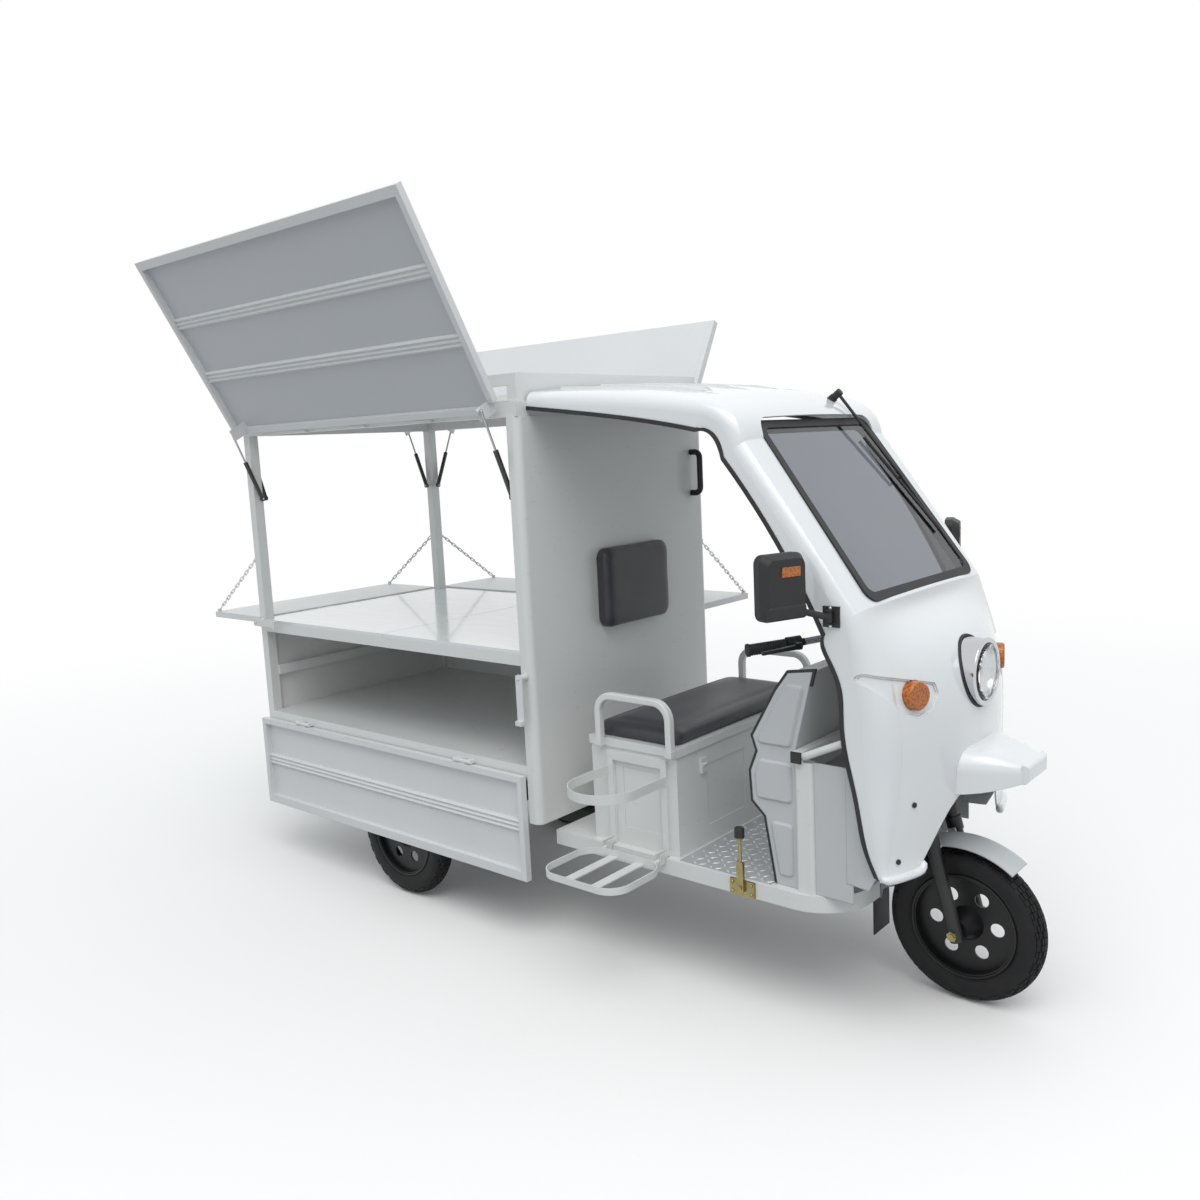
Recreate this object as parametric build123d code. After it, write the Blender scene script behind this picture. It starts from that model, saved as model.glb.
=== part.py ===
from build123d import *
from math import atan2, ceil, cos, degrees, hypot, radians, sin, sqrt
import os

# Electric food tricycle: a three-wheeler with an open moulded cab and a stall box that opens on
# three sides. Millimetres, +X forward, +Y to the driver's left, +Z up, ground at z = 0.
# Pieces are drawn with x = 0 at the stall box's front face and moved to the part's origin, the
# middle of its footprint, when they are written.

# Stall box
BOX_LENGTH = 1590
BOX_WIDTH = 1000
FLOOR_TOP = 632
COUNTER_TOP = 1026
POST_TOP = 1787
POST = 40
BEAM = 42
ROOF_EDGE = 48
RACK_RISE = 86
RACK_TUBE = 20
RACK_RAIL = 38
SHEET = 3
COUNTER_SHEET = 12
COUNTER_SEAM_X = -770
COUNTER_SEAM = 3
WALL_BOTTOM = 434
WALL_CORNER_R = 26
FLOOR_CROSS_BARS = 4

# Hinges shared by the flaps, the gate and the shelves
HINGE_OFFSET = 17
KNUCKLE_R = 8
KNUCKLE = 30
PIN_R = 4
PLAY = 0.06
SIDE_PLAY = 0.5
LEAF = 3

# Hinged panels
PANEL_T = 24
FRAME_BAR = 22
EDGE_BAR = 32
FRAME_START = 9
TRIM_WIDTH = 46
TRIM_HEIGHT = 12
PANEL_REAR_X = -1605
PANEL_FRONT_X = -50
REAR_PANEL_WIDTH = 976
FLAP_HINGE_RISE = 8
FLAP_REACH = 745
SHORT_FLAP_REACH = 400
FLAP_OPEN = 61.7
GATE_HINGE_Z = 608
GATE_REACH = 376
SHELF_HINGE_Z = 1018
SHELF_REACH = 365

# Gas struts
STRUT_STANDOFF = 22
STRUT_FOOT_Y = 40
STRUT_FOOT_Z = -265
STRUT_ARM = 60
STRUT_DROP = 45
BARREL_R = 9
BARREL = 165
BARREL_BORE_START = 40
ROD_R = 4
ROD_START = 130
ROD_BALL_R = 6
STRUT_NOTCH = 16
STRUT_SWEEP = 48

# Shelf chains
CHAIN_POST_Z = 1290
CHAIN_WIRE = 4
LINK_INNER = 26
LINK_INNER_WIDTH = 6
LINK_PLAY = 0.25

# Wheels and running gear
WHEEL_R = 233
TYRE_WIDTH = 82
RIM_R = 152
RIM_WIDTH = 62
RIM_HOLES = 6
RIM_HOLE_R = 21
RIM_HOLE_PITCH_R = 92
HUB_R = 52
AXLE_R = 9
FRONT_AXLE_X = 1255
REAR_AXLE_X = -770
WHEEL_GAP = 14
DRUM_INSET = 46
DRUM_WIDTH = 40
DRUM_R = 84
DRUM_GAP = 9
RAKE = 15
FORK_OFFSET = 35
FORK_HALF = 85
FORK_LEG_R = 20
STANCHION_R = 14
STEM_R = 17
HEAD_TUBE_R = 27
CROWN_T = 26
CROWN_LOW = 428
STEM_TOP = 890
HEAD_LOW = 470
HEAD_TOP = 650
LEG_TOP = 300
LEG_BORE_LOW = 20
BAR_R = 11
BAR_X = 928
BAR_Z = 1092
GUARD_R = 270
GUARD_HALF = 56
GUARD_T = 3
GUARD_LIP = 22
GUARD_FRONT = 52
GUARD_REAR = 172
SPRING_HALF = 430
SPRING_EYE_Z = 470
AXLE_TUBE_R = 32
LEAF_WIDTH = 50
LEAF_T = 8
SPRING_LOW = 284
STUB_R = 14

# Chassis
RAIL_WIDTH = 40
RAIL_TOP = 590
RAIL_HEIGHT = 70
CAB_RAIL_Y = 200
CAB_RAIL_HEIGHT = 60
NECK_X = 945
NECK_TOP_X = 1052
NECK_TOP_Z = 775
WELL_X = 925
WELL_HALF = 215
CAB_RAIL_OUT = CAB_RAIL_Y + RAIL_WIDTH / 2

# Cab
FLOOR_Z = 400
FLOOR_HALF = 430
FLOOR_FRONT_X = 1085
FLOOR_CORNER_R = 165
SKIRT = 50
FLOOR_T = 4
TREAD_T = 2.5
TREAD_EDGE = 12
SHELL_T = 5
SCREEN_TOP_X = 770
SCREEN_TOP_Z = 1730
SCREEN_BOTTOM_X = 1135
SCREEN_BOTTOM_Z = 1233
SCREEN_TOP_HALF = 332
SCREEN_BOTTOM_HALF = 351
SCREEN_CORNER_R = 42
SEAL_WIDTH = 27
SEAL_BELOW = 30
SEAL_ABOVE = 4
WIPER_HUB = (197, 73)
SPINDLE_R = 14
GLASS_T = 5
HEADLIGHT_Z = 999
HEADLIGHT_R = 97
SIGNAL_Y = 300
SIGNAL_Z = 984
SIGNAL_R = 40
TAIL_Y = 400
TAIL_HALF = 55
TAIL_DEPTH = 18
WING_CORNER_R = 14
WING_REACH = 150

MIRROR_WIDTH = 146
MIRROR_HEIGHT = 176
MIRROR_DEPTH = 46
MIRROR_TURN = 20
MIRROR_PIVOT_R = 9
MIRROR_PLATE_T = 8

# Seat and driver's fittings
SEAT_REAR_X = 160
SEAT_FRONT_X = 505
SEAT_HALF = 400
SEAT_TOP = 720
LID_HEIGHT = 28
CUSHION = 58
RAIL_R = 11
ARM_TOP = 905
ARM_BEND = 55
DASH_HALF = 400
DASH_FOOT_X = 855
DASH_FRONT_X = 925
DASH_MARGIN = 14
DASH_RELIEF = 7
DASH_BEAD = 8
DASH_FIELDS = ((430, 590), (650, 770), (815, 1000))
RING_LENGTH = 313
RING_DEPTH = 250
RING_BAR = 22
RING_T = 4
RING_Z = 405

HALF = BOX_WIDTH / 2
HINGE_Y = HALF + HINGE_OFFSET
FLAP_HINGE_Z = POST_TOP + FLAP_HINGE_RISE
TRACK = 2 * (HINGE_Y - PANEL_T / 2 - WHEEL_GAP) - TYRE_WIDTH
SPRING_Y = TRACK / 2 - DRUM_INSET - DRUM_WIDTH - DRUM_GAP - LEAF_WIDTH / 2
RAIL_Y = SPRING_Y
SCREEN_SLOPE = degrees(atan2(SCREEN_TOP_Z - SCREEN_BOTTOM_Z, SCREEN_BOTTOM_X - SCREEN_TOP_X))
SCREEN_LENGTH = hypot(SCREEN_BOTTOM_X - SCREEN_TOP_X, SCREEN_TOP_Z - SCREEN_BOTTOM_Z)
FRONT_REACH = FRONT_AXLE_X + WHEEL_R
REAR_REACH = BOX_LENGTH + HINGE_OFFSET + SHELF_REACH
CENTRE_X = (FRONT_REACH - REAR_REACH) / 2

PARTS = {}


def keep(node, *solids):
    """Put finished pieces into a named node."""
    PARTS.setdefault(node, []).extend(s for group in solids for s in group.solids())


def bar(x0, x1, y0, y1, z0, z1):
    """Rectangular piece between two opposite corners."""
    return Pos((x0 + x1) / 2, (y0 + y1) / 2, (z0 + z1) / 2) * Box(x1 - x0, y1 - y0, z1 - z0)


def rod(start, end, radius, bore=0):
    """Round bar, or tube, between two points."""
    start, end = Vector(start), Vector(end)
    plane = Plane(origin=start, z_dir=end - start)
    profile = Circle(radius)
    if bore:
        profile -= Circle(bore)
    return extrude(plane * profile, (end - start).length)


def prism(points, plane, amount):
    """Straight-sided outline pushed out of a plane by an amount."""
    return extrude(plane * make_face(Polyline(*points, close=True)), amount)


def bent_tube(points, profile, bend):
    """Tube of any profile along straight runs with one bend radius."""
    path = FilletPolyline(*points, radius=bend)
    return sweep(Plane(origin=path @ 0, z_dir=path % 0) * profile, path)


def stations_along(low, high, count):
    """Evenly spaced places between two ends, ends left out."""
    return [low + (high - low) * (i + 1) / (count + 1) for i in range(count)]


# Stall box: welded square-tube frame
def stall_frame():
    inner = HALF - POST
    counter_frame_top = COUNTER_TOP - COUNTER_SHEET
    for side in (-1, 1):
        y0, y1 = sorted((side * HALF, side * inner))
        keep("box_frame", bar(-BOX_LENGTH, POST - BOX_LENGTH, y0, y1, FLOOR_TOP - BEAM, POST_TOP))
        outline = Pos(-POST / 2, side * (HALF - POST / 2)) * Rectangle(POST, POST)
        corner = outline.vertices().sort_by_distance((0, side * HALF, 0))[0]
        outline = fillet(corner, WALL_CORNER_R - SHEET)
        keep("box_frame", Pos(0, 0, WALL_BOTTOM) * extrude(outline, POST_TOP - WALL_BOTTOM))
        for low, high in ((FLOOR_TOP - BEAM, FLOOR_TOP), (counter_frame_top - POST, counter_frame_top)):
            keep("box_frame", bar(POST - BOX_LENGTH, -POST, y0, y1, low, high))
        keep("box_frame", bar(-BOX_LENGTH, 0, y0, y1, POST_TOP, POST_TOP + ROOF_EDGE))
    for low, high in (
        (FLOOR_TOP - BEAM, FLOOR_TOP),
        (counter_frame_top - POST, counter_frame_top),
        (POST_TOP, POST_TOP + ROOF_EDGE),
    ):
        keep("box_frame", bar(-BOX_LENGTH, POST - BOX_LENGTH, -inner, inner, low, high))
        keep("box_frame", bar(-POST, 0, -inner, inner, low, high))
    for x in stations_along(POST - BOX_LENGTH, -POST, FLOOR_CROSS_BARS):
        keep("box_frame", bar(x - POST / 2, x + POST / 2, -inner, inner, FLOOR_TOP - BEAM, FLOOR_TOP - SHEET))
    seam_bar = bar(
        COUNTER_SEAM_X - POST / 2,
        COUNTER_SEAM_X + POST / 2,
        -inner,
        inner,
        counter_frame_top - POST,
        counter_frame_top,
    )
    keep("box_frame", seam_bar)


# Stall box: sheet panels
def stall_panels():
    inner = HALF - POST
    counter_frame_bottom = COUNTER_TOP - COUNTER_SHEET - POST
    panel_inset = 18
    rail_depth = 25
    rail_height = 40
    rail_z = (FLOOR_TOP + counter_frame_bottom) / 2
    floor = bar(POST - BOX_LENGTH, -POST, -inner, inner, FLOOR_TOP - SHEET, FLOOR_TOP)
    rear_x = panel_inset - BOX_LENGTH
    rear = bar(rear_x, rear_x + SHEET, -inner, inner, FLOOR_TOP, counter_frame_bottom)
    rail_x = rear_x + SHEET
    rail_low = rail_z - rail_height / 2
    rear += bar(rail_x, rail_x + rail_depth, -inner, inner, rail_low, rail_low + rail_height)
    left_y = HALF - panel_inset
    left = bar(POST - BOX_LENGTH, -POST, left_y - SHEET, left_y, FLOOR_TOP, counter_frame_bottom)
    trim_plane = Plane(origin=(POST - BOX_LENGTH, left_y - SHEET, rail_z), x_dir=(0, 0, 1), z_dir=(1, 0, 0))
    left += extrude(trim_plane * trim_outline(), BOX_LENGTH - 2 * POST)
    keep("lower_panels", floor, rear, left)

    notch = POST + SIDE_PLAY
    posts = [
        bar(x0, x0 + notch, y0, y0 + notch, counter_frame_bottom, COUNTER_TOP + 1)
        for x0 in (-BOX_LENGTH, -notch)
        for y0 in (-HALF, HALF - notch)
    ]
    counter_z = COUNTER_TOP - COUNTER_SHEET
    front_half = bar(COUNTER_SEAM_X + COUNTER_SEAM / 2, 0, -HALF, HALF, counter_z, COUNTER_TOP)
    rear_half = bar(-BOX_LENGTH, COUNTER_SEAM_X - COUNTER_SEAM / 2, -HALF, HALF, counter_z, COUNTER_TOP)
    keep("counter_panels", front_half - posts, rear_half - posts)

    flange = POST + 5
    outer = Pos((SHEET + 1 - flange) / 2, 0) * Rectangle(flange + SHEET + 1, BOX_WIDTH + 2 * SHEET)
    outer = fillet(outer.vertices().group_by(Axis.X)[-1], WALL_CORNER_R)
    hollow = Pos((1 - 2 * flange) / 2, 0) * Rectangle(2 * flange + 1, BOX_WIDTH)
    hollow = fillet(hollow.vertices().group_by(Axis.X)[-1], WALL_CORNER_R - SHEET)
    keep("front_wall", Pos(0, 0, WALL_BOTTOM) * extrude(outer - hollow, POST_TOP - WALL_BOTTOM))


# Roof sheet with its low rack: a solid front board and open rails on three sides
def stall_roof():
    sheet_z = POST_TOP + ROOF_EDGE
    deck_z = sheet_z + SHEET
    rack_top = deck_z + RACK_RISE
    deck = bar(-BOX_LENGTH, 0, -HALF, HALF, sheet_z, deck_z)
    edge = 13
    rail_y = HALF - edge
    front_x = -9
    rear_x = edge - BOX_LENGTH
    board_back = front_x - RACK_TUBE
    rail_low = rack_top - RACK_RAIL
    keep("roof", bar(board_back, front_x, -rail_y, rail_y, sheet_z, rack_top))
    deck -= bar(board_back - LINK_PLAY, 1, -HALF - 1, HALF + 1, sheet_z - 1, deck_z + 1)
    keep("roof", bar(rear_x, rear_x + RACK_TUBE, -rail_y, rail_y, rail_low, rack_top))
    post_xs = [rear_x, *stations_along(rear_x, board_back - RACK_TUBE, 2), board_back - RACK_TUBE]
    for side in (-1, 1):
        y0, y1 = sorted((side * rail_y, side * (rail_y - RACK_TUBE)))
        keep("roof", bar(rear_x + RACK_TUBE, board_back, y0, y1, rail_low, rack_top))
        for x in post_xs:
            keep("roof", bar(x, x + RACK_TUBE, y0, y1, sheet_z, rail_low))
            hole = Box(RACK_TUBE + 2 * LINK_PLAY, RACK_TUBE + 2 * LINK_PLAY, 4 * SHEET)
            deck -= Pos(x + RACK_TUBE / 2, (y0 + y1) / 2, deck_z) * hole
    keep("roof", deck)


def trim_outline():
    """Cross-section of the ribbed trim: three ridges on a flat back."""
    pitch = TRIM_WIDTH / 3
    points = [(-TRIM_WIDTH / 2, 0)]
    for i in range(3):
        left = -TRIM_WIDTH / 2 + i * pitch
        points += [(left, TRIM_HEIGHT / 2), (left + pitch / 2, TRIM_HEIGHT)]
    points += [(TRIM_WIDTH / 2, TRIM_HEIGHT / 2), (TRIM_WIDTH / 2, 0)]
    return make_face(Polyline(*points, close=True))


# Hinged panels, drawn hanging closed: the hinge axis is X, the box lies towards +Y
def hinge_fixed(x):
    """The box's half of a hinge: leaf, two knuckles and the pin."""
    half = 1.5 * KNUCKLE
    piece = rod((x - half, 0, 0), (x + half, 0, 0), PIN_R)
    block = 5
    for side in (-1, 1):
        near = x + side * (KNUCKLE / 2 + SIDE_PLAY)
        far = x + side * half
        piece += rod((near, 0, 0), (far, 0, 0), KNUCKLE_R)
        piece += bar(min(near, far), max(near, far), 0, HINGE_OFFSET, -block, block)
    return piece + bar(x - half, x + half, HINGE_OFFSET - LEAF, HINGE_OFFSET, -KNUCKLE_R, KNUCKLE_R)


def knuckle_moving(x):
    """The panel's knuckle, with the web that joins it to the frame."""
    web = 5
    barrel = rod((x - KNUCKLE / 2, 0, 0), (x + KNUCKLE / 2, 0, 0), KNUCKLE_R)
    return barrel + bar(x - KNUCKLE / 2, x + KNUCKLE / 2, -web, web, -FRAME_START - web, 0)


def strut_bracket(x, inward):
    """Plate on the panel that carries a strut's upper end, with its round boss."""
    plate = 4
    near = x + inward * STRUT_NOTCH
    face = near - inward * plate
    reach = STRUT_ARM + 10
    piece = bar(min(near, face), max(near, face), SHEET - PANEL_T / 2, reach, -STRUT_DROP - 10, -FRAME_START)
    boss_end = x + inward * (ROD_BALL_R + SIDE_PLAY)
    return piece + rod((face, STRUT_ARM, -STRUT_DROP), (boss_end, STRUT_ARM, -STRUT_DROP), KNUCKLE_R)


def hinged_panel(length, reach, hinges, trims, face=1, struts=()):
    """Framed sheet panel: top bar with knuckles, side bars, edge bar, sheet and ribbed trims."""
    half_t = PANEL_T / 2
    half = length / 2
    low = -FRAME_START - FRAME_BAR
    edge = EDGE_BAR - reach
    inner = half - FRAME_BAR
    middle = sum(struts) / len(struts) if struts else 0
    notches = sorted((x - STRUT_NOTCH, x + STRUT_NOTCH) for x in struts)
    cuts = [-inner] + [v for notch in notches for v in notch] + [inner]
    pieces = []
    for start, end in zip(cuts[::2], cuts[1::2]):
        if end - start < FRAME_BAR:
            continue
        top = bar(start, end, -half_t, half_t, low, -FRAME_START)
        for x in hinges:
            if start < x < end:
                top += knuckle_moving(x)
        for x in struts:
            inward = 1 if x < middle else -1
            if start - 1 < x + inward * STRUT_NOTCH < end + 1:
                top += strut_bracket(x, inward)
        top -= rod((start - 1, 0, 0), (end + 1, 0, 0), PIN_R + PLAY)
        pieces.append(top)
    for side in (-1, 1):
        x0, x1 = sorted((side * half, side * inner))
        notched = any(a < x1 and b > x0 for a, b in notches)
        side_top = -STRUT_SWEEP if notched else -FRAME_START
        pieces.append(bar(x0, x1, -half_t, half_t, -reach, side_top))
    pieces.append(bar(-inner, inner, -half_t, half_t, -reach, edge))
    back = face * (SHEET - half_t)
    sheet_y = sorted((back, -face * half_t))
    pieces.append(bar(-inner, inner, *sheet_y, edge, low))
    for z in stations_along(low, edge, trims):
        plane = Plane(origin=(-inner, back, z), x_dir=(0, 0, -face), z_dir=(1, 0, 0))
        pieces.append(extrude(plane * trim_outline(), 2 * inner))
    return Compound(pieces)


def strut_ends(turn):
    """Where a strut's upper end lies, beside the hinge axis, with the panel turned by an angle."""
    c, s = cos(radians(turn)), sin(radians(turn))
    return STRUT_ARM * c + STRUT_DROP * s, STRUT_ARM * s - STRUT_DROP * c


def strut_pieces(x, towards_post):
    """A gas strut at rest: the stud on the post, the barrel and the rod."""
    foot = Vector(x, STRUT_FOOT_Y, STRUT_FOOT_Z)
    top = Vector(x, *strut_ends(-90 - FLAP_OPEN))
    along = (top - foot).normalized()
    eye = 6
    eye_r = 10
    stud = rod(foot + Vector(towards_post * STRUT_STANDOFF), foot - Vector(towards_post * (eye + 2)), ROD_R)
    barrel = rod(foot, foot + along * BARREL, BARREL_R)
    barrel += rod(foot - Vector(eye), foot + Vector(eye), eye_r)
    barrel -= rod(foot + along * BARREL_BORE_START, foot + along * (BARREL + 1), ROD_R + PLAY)
    barrel -= rod(foot - Vector(2 * eye), foot + Vector(2 * eye), ROD_R + PLAY)
    piston = rod(foot + along * ROD_START, top, ROD_R) + Pos(*top) * Sphere(ROD_BALL_R)
    return stud, barrel, piston


SIDE_TURN = {"right": 0, "rear": -90, "left": 180}


def on_side(side, along, z):
    """Location of a hinge line on one side of the box."""
    if side == "rear":
        return Pos(-BOX_LENGTH - HINGE_OFFSET, along, z) * Rot(0, 0, SIDE_TURN[side])
    y = HINGE_Y if side == "left" else -HINGE_Y
    return Pos(along, y, z) * Rot(0, 0, SIDE_TURN[side])


def place(location, shape, node):
    keep(node, location * shape)


def flaps():
    middle = (PANEL_REAR_X + PANEL_FRONT_X) / 2
    length = PANEL_FRONT_X - PANEL_REAR_X
    front = -POST - STRUT_STANDOFF - middle
    rear = POST + STRUT_STANDOFF - BOX_LENGTH - middle
    across = HALF - POST - STRUT_STANDOFF
    layout = {
        "right": (length, FLAP_REACH, (rear, front), 2, middle),
        "rear": (REAR_PANEL_WIDTH, SHORT_FLAP_REACH, (-across, across), 1, 0),
        "left": (length, SHORT_FLAP_REACH, (-front, -rear), 1, middle),
    }
    open_turn = Rot(-90 - FLAP_OPEN, 0, 0)
    for side, (span, reach, struts, trims, along) in layout.items():
        here = on_side(side, along, FLAP_HINGE_Z)
        hinges = stations_along(struts[0], struts[1], 3)
        panel = hinged_panel(span, reach, hinges, trims, struts=struts)
        place(here * open_turn, panel, side + "_flap")
        for x in hinges:
            place(here, hinge_fixed(x), "box_frame")
        for x in struts:
            stud, barrel, piston = strut_pieces(x, 1 if x > sum(struts) / 2 else -1)
            place(here, stud, "box_frame")
            place(here, barrel, side + "_strut_barrels")
            place(here, piston, side + "_strut_rods")


def gate():
    middle = (PANEL_REAR_X + PANEL_FRONT_X) / 2
    length = PANEL_FRONT_X - PANEL_REAR_X
    here = on_side("right", middle, GATE_HINGE_Z)
    hinges = (-490, 480)
    place(here, hinged_panel(length, GATE_REACH, hinges, 1, face=-1), "side_gate")
    for x in hinges:
        place(here, hinge_fixed(x), "box_frame")


def chain(start, end):
    """Chain of flat-sided links pulled straight between two points."""
    start, end = Vector(start), Vector(end)
    span = (end - start).length
    outer = LINK_INNER + 2 * CHAIN_WIRE
    count = ceil((span - outer) / (LINK_INNER - LINK_PLAY)) + 1
    pitch = (span - outer) / (count - 1)
    width = LINK_INNER_WIDTH + 2 * CHAIN_WIRE
    outline = chamfer(Rectangle(width, outer).vertices(), CHAIN_WIRE)
    link = extrude(outline - Rectangle(LINK_INNER_WIDTH, LINK_INNER), CHAIN_WIRE / 2, both=True)
    link = Rot(90, 0, 0) * link
    plane = Plane(origin=start, x_dir=(1, 0, 0), z_dir=end - start)
    for i in range(count):
        yield plane.location * Pos(0, 0, outer / 2 + i * pitch) * Rot(0, 0, 45 + 90 * (i % 2)) * link


def shelves():
    middle = (PANEL_REAR_X + PANEL_FRONT_X) / 2
    eye = 12
    layout = (("rear", REAR_PANEL_WIDTH, 0), ("left", PANEL_FRONT_X - PANEL_REAR_X, middle))
    for side, length, along in layout:
        here = on_side(side, along, SHELF_HINGE_Z)
        hinges = stations_along(-length / 2, length / 2, 2)
        place(here * Rot(-90, 0, 0), hinged_panel(length, SHELF_REACH, hinges, 1), side + "_shelf")
        for x in hinges:
            place(here, hinge_fixed(x), "box_frame")
        post_z = CHAIN_POST_Z - SHELF_HINGE_Z
        for end in (-1, 1):
            foot_x = end * (length / 2 - FRAME_BAR / 2)
            post_x = end * (HALF - POST / 2)
            root = HINGE_OFFSET
            if side == "left":
                post_x = BOX_LENGTH - POST / 2 + middle if end > 0 else POST / 2 + middle
                root -= SHEET if end < 0 else 0
            post_eye = Vector(post_x, root - eye / 2, post_z)
            shelf_eye = Vector(foot_x, EDGE_BAR / 2 - SHELF_REACH, PANEL_T / 2 + eye / 2)
            along_chain = (shelf_eye - post_eye).normalized()
            fixings = ((post_eye, along_chain, "box_frame"), (shelf_eye, -along_chain, side + "_shelf"))
            for spot, out, node in fixings:
                stud = rod(spot, spot + out * eye, CHAIN_WIRE / 2)
                place(here, Pos(*spot) * Box(eye, eye, eye) + stud, node)
            hook = eye + LINK_PLAY
            for link in chain(post_eye + along_chain * hook, shelf_eye - along_chain * hook):
                place(here, link, side + "_shelf_chains")


# Cab shell: one moulded channel from the roof down to the nose
# Columns: x, z, slope of the surface, half width, crown, corner radius, depth of the side flange
SHELL = [
    (0, 1886, 0, 452, 22, 36, 68),
    (300, 1869, 4.5, 452, 22, 45, 88),
    (530, 1846, 8, 450, 22, 45, 100),
    (685, 1820, 17, 448, 20, 45, 105),
    (750, 1784, 46, 444, 14, 45, 95),
    (812, 1685, 54, 440, 10, 45, 86),
    (971, 1468, 54, 436, 10, 45, 88),
    (1149, 1231, 55, 432, 16, 50, 130),
    (1236, 1110, 64, 432, 55, 70, 172),
    (1290, 985, 81, 432, 76, 75, 200),
    (1300, 870, 91, 432, 76, 75, 204),
    (1298, 760, 94, 432, 76, 70, 182),
    (1288, 640, 98, 432, 74, 50, 150),
    (1275, 540, 101, 430, 70, 30, 117),
    (1266, 482, 103, 428, 58, 16, 82),
]
SHELL_RUNS = ((0, 3), (3, 5), (5, 7), (7, 14))


def section_plane(x, z, slope):
    """Plane square to the shell's surface, with its own x across the cab and y outwards."""
    turn = radians(slope)
    return Plane(origin=(x, 0, z), x_dir=(0, 1, 0), z_dir=(cos(turn), 0, -sin(turn)))


def shell_section(x, z, slope, half, crown, corner, depth):
    """Closed outline of the shell's wall at one station."""

    def side(inset, sign):
        w = half - inset
        r = corner - inset
        top = -crown - inset
        mid = r * sqrt(0.5)
        foot = (sign * w, -depth)
        knee = (sign * w, top - r)
        bend = (sign * (w - r + mid), top - r + mid)
        rise = (sign * (w - r), top)
        return foot, knee, bend, rise

    edges = []
    a, b, c, d = side(0, -1)
    e, f, g, h = side(0, 1)
    edges += [Line(a, b), ThreePointArc(b, c, d), ThreePointArc(d, (0, 0), h)]
    edges += [ThreePointArc(h, g, f), Line(f, e)]
    i, j, k, m = side(SHELL_T, 1)
    n, o, p, q = side(SHELL_T, -1)
    edges += [Line(e, i), Line(i, j), ThreePointArc(j, k, m), ThreePointArc(m, (0, -SHELL_T), q)]
    edges += [ThreePointArc(q, p, o), Line(o, n), Line(n, a)]
    plane = section_plane(x, z, slope)
    return Wire([edge for curve in edges for edge in (plane * curve).edges()])


def edge_section(x, z, slope, half, crown, corner, depth):
    """Outline of the rubber edge that covers the end of the shell's right flange."""
    lip = 6
    y0 = -half - lip / 2
    y1 = -half + SHELL_T + lip / 2
    top = -depth - LINK_PLAY
    points = [(y0, top), (y1, top), (y1, top - 2 * lip), (y0, top - 2 * lip)]
    plane = section_plane(x, z, slope)
    return Wire([edge for edge in (plane * Polyline(*points, close=True)).edges()])


def lofted_runs(section):
    """Smooth loft of every run of stations, joined where the runs meet."""
    runs = []
    for first, last in SHELL_RUNS:
        runs.append(Solid.make_loft([section(*row) for row in SHELL[first : last + 1]], False))
    return runs[0].fuse(*runs[1:])


SCREEN = Plane(
    origin=(SCREEN_TOP_X, 0, SCREEN_TOP_Z),
    x_dir=(0, 1, 0),
    z_dir=(sin(radians(SCREEN_SLOPE)), 0, cos(radians(SCREEN_SLOPE))),
)


def screen_outline(inset):
    """Windscreen outline on its plane, drawn in by an inset."""
    top = SCREEN_TOP_HALF - inset
    bottom = SCREEN_BOTTOM_HALF - inset
    low = inset - SCREEN_LENGTH
    points = [(-top, -inset), (top, -inset), (bottom, low), (-bottom, low)]
    face = make_face(Polyline(*points, close=True))
    return fillet(face.vertices(), SCREEN_CORNER_R - inset / 2)


def signal_axis(side):
    """Base point and direction of a front turn signal."""
    lean = 20
    return Vector(1236, side * SIGNAL_Y, SIGNAL_Z), Vector(cos(radians(lean)), side * sin(radians(lean)), 0)


def wing_outline(side):
    """Outline of the pressed-in wing round a front signal, seen along the lamp's axis."""
    base, out = signal_axis(side)
    points = [(-80, 22), (158, 76), (168, 58), (40, -48), (-6, -64), (-62, -46), (-88, -8)]
    plane = Plane(origin=base, x_dir=(-out.Y, out.X, 0), z_dir=out)
    outline = make_face(Polyline(*[(side * u, v) for u, v in points], close=True))
    return plane, offset(offset(outline, -WING_CORNER_R, kind=Kind.INTERSECTION), WING_CORNER_R)


def press_wing(shell, side):
    """Push the shell's wall in round a signal: the floor of the wing and a step round it."""
    plane, outline = wing_outline(side)

    def through(face):
        return extrude(plane * face, WING_REACH, both=True)

    inward = plane.z_dir * (1 - SHELL_T)
    rim = offset(outline, SHELL_T)
    near = shell & through(offset(rim, SHELL_T))
    wall = (Pos(*inward) * near) & through(rim - offset(outline, -SHELL_T))
    floor = (Pos(*(inward * 2)) * near) & through(outline)
    return (shell - through(outline)).fuse(*floor.solids(), *wall.solids())


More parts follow.
